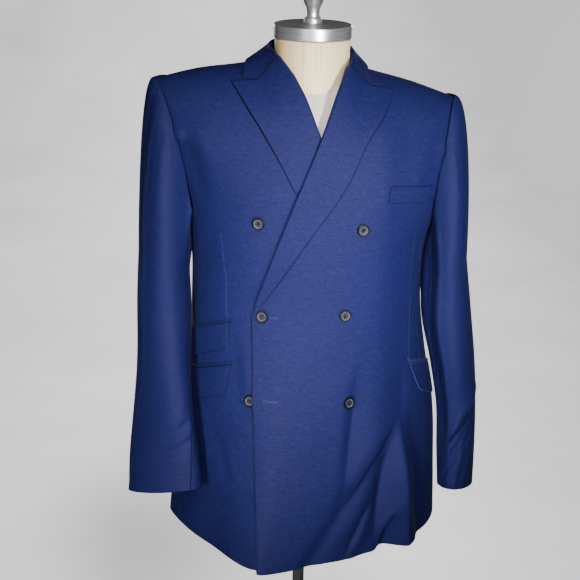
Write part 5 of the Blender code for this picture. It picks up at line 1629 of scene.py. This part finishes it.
def cross_lines():
    """Two bars of thread over the face, hole to hole, that dip into the holes."""
    t = np.linspace(-1, 1, CROSS_POINTS)
    z = BUTTON_PROFILE[0][1] + CROSS_RISE - CROSS_DIP * np.abs(t) ** 6
    lines = []
    for turn in (math.pi / 4, 3 * math.pi / 4):
        x, y = HOLE_RING * t * math.cos(turn), HOLE_RING * t * math.sin(turn)
        lines.append(np.stack([x, y, z], -1))
    return lines


# A button's painted highlight: its share in the dish, where the dish ends, and where the rim's
# shoulder ends.
DISH_GLARE, DISH_EDGE, SHOULDER_EDGE = 0.35, (0.0050, 0.0056), (0.0064, 0.0072)


def painted_glare_share(mesh):
    """Painted highlight: 1 on the inner shoulder of a button's rim, less in its dish, 0 outside
    and down its side.
    """
    at = np.empty(len(mesh.vertices) * 3, np.float32)
    mesh.vertices.foreach_get("co", at)
    radius = np.hypot(at[0::3], at[1::3])
    dish = DISH_GLARE * (1 - smooth_step(radius, *DISH_EDGE))
    return dish + smooth_step(radius, *DISH_EDGE) * (1 - smooth_step(radius, *SHOULDER_EDGE))


FRONT_FINE = {1: front_grid(1), -1: front_grid(-1)}
for name, side, x, z in BUTTONS:
    place = button_place(side, x, z)
    made = round_body(f"fine_{name}", button_grid(), HORN)
    # The painted highlight that stands in for glare on the dish and rim.
    carry(made, "painted_glare", painted_glare_share(made.data))
    made.data.transform(place)
    points, faces = tubes(cross_lines())
    cross = linked(f"thread_{name}", points.tolist(), faces, HORN)
    cross.data.transform(place)
    for piece in (made, cross):
        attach(piece, "root")
    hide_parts(name)
print(len(BUTTONS), "buttons of four holes")

# %% [markdown]
# ## Buttonholes
#
# A keyhole buttonhole beside the lowest button, and the short end of the one that the middle
# button closes, in whipped thread laid on the over front.


# %% Buttonholes
SLIT_HALF, SLIT_POINTS = 0.0009, 30
EYE_RADIUS, EYE_TURN, EYE_POINTS, EYE_MARGIN = 0.0021, 0.75 * math.pi, 26, 0.0015
BAR_REACH, THREAD_LIFT = 0.0006, 0.0001  # past the slit's end, and off the cloth
# The thread's radius, its turns, how much it narrows between them, and its points and sides.
WHIP_RADIUS, WHIPS, WHIP_WAIST, WHIP_POINTS, WHIP_SIDES = 0.00062, 46, 0.35, 260, 10


def front_side(side, x, z, out):
    """Points over the outer side of a front, at x and z."""
    flat = np.stack([np.asarray(x, float), np.asarray(z, float)], -1)
    return on_front(side, flat, WALL + out)


def whipped(line, radius, turns, depth):
    """A closed tube along a line of points, waisted between the whipping's turns."""
    count = len(line)
    run = unit(np.gradient(line, axis=0))
    first = unit(np.cross(run, [0.0, -1.0, 0.0]))
    second = np.cross(run, first)
    angle = np.linspace(0, 2 * math.pi, WHIP_SIDES, endpoint=False)[None, :, None]
    share = np.linspace(0, 1, count)[:, None, None]
    size = radius * (1 + depth * np.abs(np.sin(math.pi * turns * share)) - depth)
    around = np.cos(angle) * first[:, None] + np.sin(angle) * second[:, None]
    ring = line[:, None] + size * around
    index = once_round(np.arange(count * WHIP_SIDES).reshape(count, WHIP_SIDES))
    faces = quads(index).tolist() + [index[0, :-1].tolist(), index[-1, -2::-1].tolist()]
    return ring.reshape(-1, 3), faces


def buttonhole(name, x_eye, x_end, z, eye):
    """Two rows of whipping from an eye to a bar, drawn as one line round the slit."""
    turn = np.linspace(-EYE_TURN, EYE_TURN, EYE_POINTS) + math.pi
    if eye:
        ring_x, ring_z = x_eye + EYE_RADIUS * np.cos(turn), EYE_RADIUS * np.sin(turn)
    else:
        ring_x, ring_z = np.array([x_eye, x_eye]), np.array([SLIT_HALF, -SLIT_HALF])
    way = np.linspace(x_eye + EYE_MARGIN, x_end, SLIT_POINTS)
    x = np.concatenate([way[::-1], ring_x, way, [x_end + BAR_REACH, x_end]])
    z_off = np.concatenate([
        0 * way + SLIT_HALF, ring_z, 0 * way - SLIT_HALF, [0.0, SLIT_HALF],
    ])
    line = front_side(1, x, z + z_off, THREAD_LIFT)
    points, faces = whipped(spaced(line, WHIP_POINTS), WHIP_RADIUS, WHIPS, WHIP_WAIST)
    made = linked(name, points.tolist(), faces, THREAD_MATERIAL)
    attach(made, "root")
    return made


buttonhole("buttonhole_foot", -0.0655, -0.0475, 1.0008, eye=True)
buttonhole("buttonhole_middle", -0.0620, -0.0500, 1.1315, eye=False)
print("two buttonholes")

# %% [markdown]
# ## The dress form
#
# The torso keeps its solid, in linen. The neck, cap, finial and pole are turned again with more
# sides.

# %% The dress form
TIP_RADIUS = 0.00005  # the rows at the ends stay this far from the axis


def smooth_profile(profile, count):
    """A profile of radius and height read at count even steps of its own length."""
    return spaced(np.array(profile), count).T


for name, profile, material, slot_name, count, steps in (
    ("neck", NECK_PROFILE, BIRCH, "birch", 40, 128),
    ("cap", CAP_PROFILE, CAP_METAL, "aluminium", 120, 160),
    ("finial", FINIAL_PROFILE, CAP_METAL, "aluminium", 120, 96),
    ("pole", POLE_PROFILE, STEEL, "dark_steel", 60, 64),
    ("base", BASE_PROFILE, IRON, "black_iron", 160, 160),
):
    radius, height = smooth_profile(profile, count)
    grid = revolved(np.maximum(radius, TIP_RADIUS), height, steps)
    made = round_body(f"turned_{name}", grid, material)
    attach(made, "root")
    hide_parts(f"form_{name}")
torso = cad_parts["form_torso"]
torso.data.materials.clear()
torso.data.materials.append(LINEN)
print("dress form dressed")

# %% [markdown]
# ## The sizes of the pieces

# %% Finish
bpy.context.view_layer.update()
for name, width, length, area in pieces_made:
    print(f"{name}: {width * 100:.0f} x {length * 100:.0f} cm, {area * 1e4:.0f} cm2")
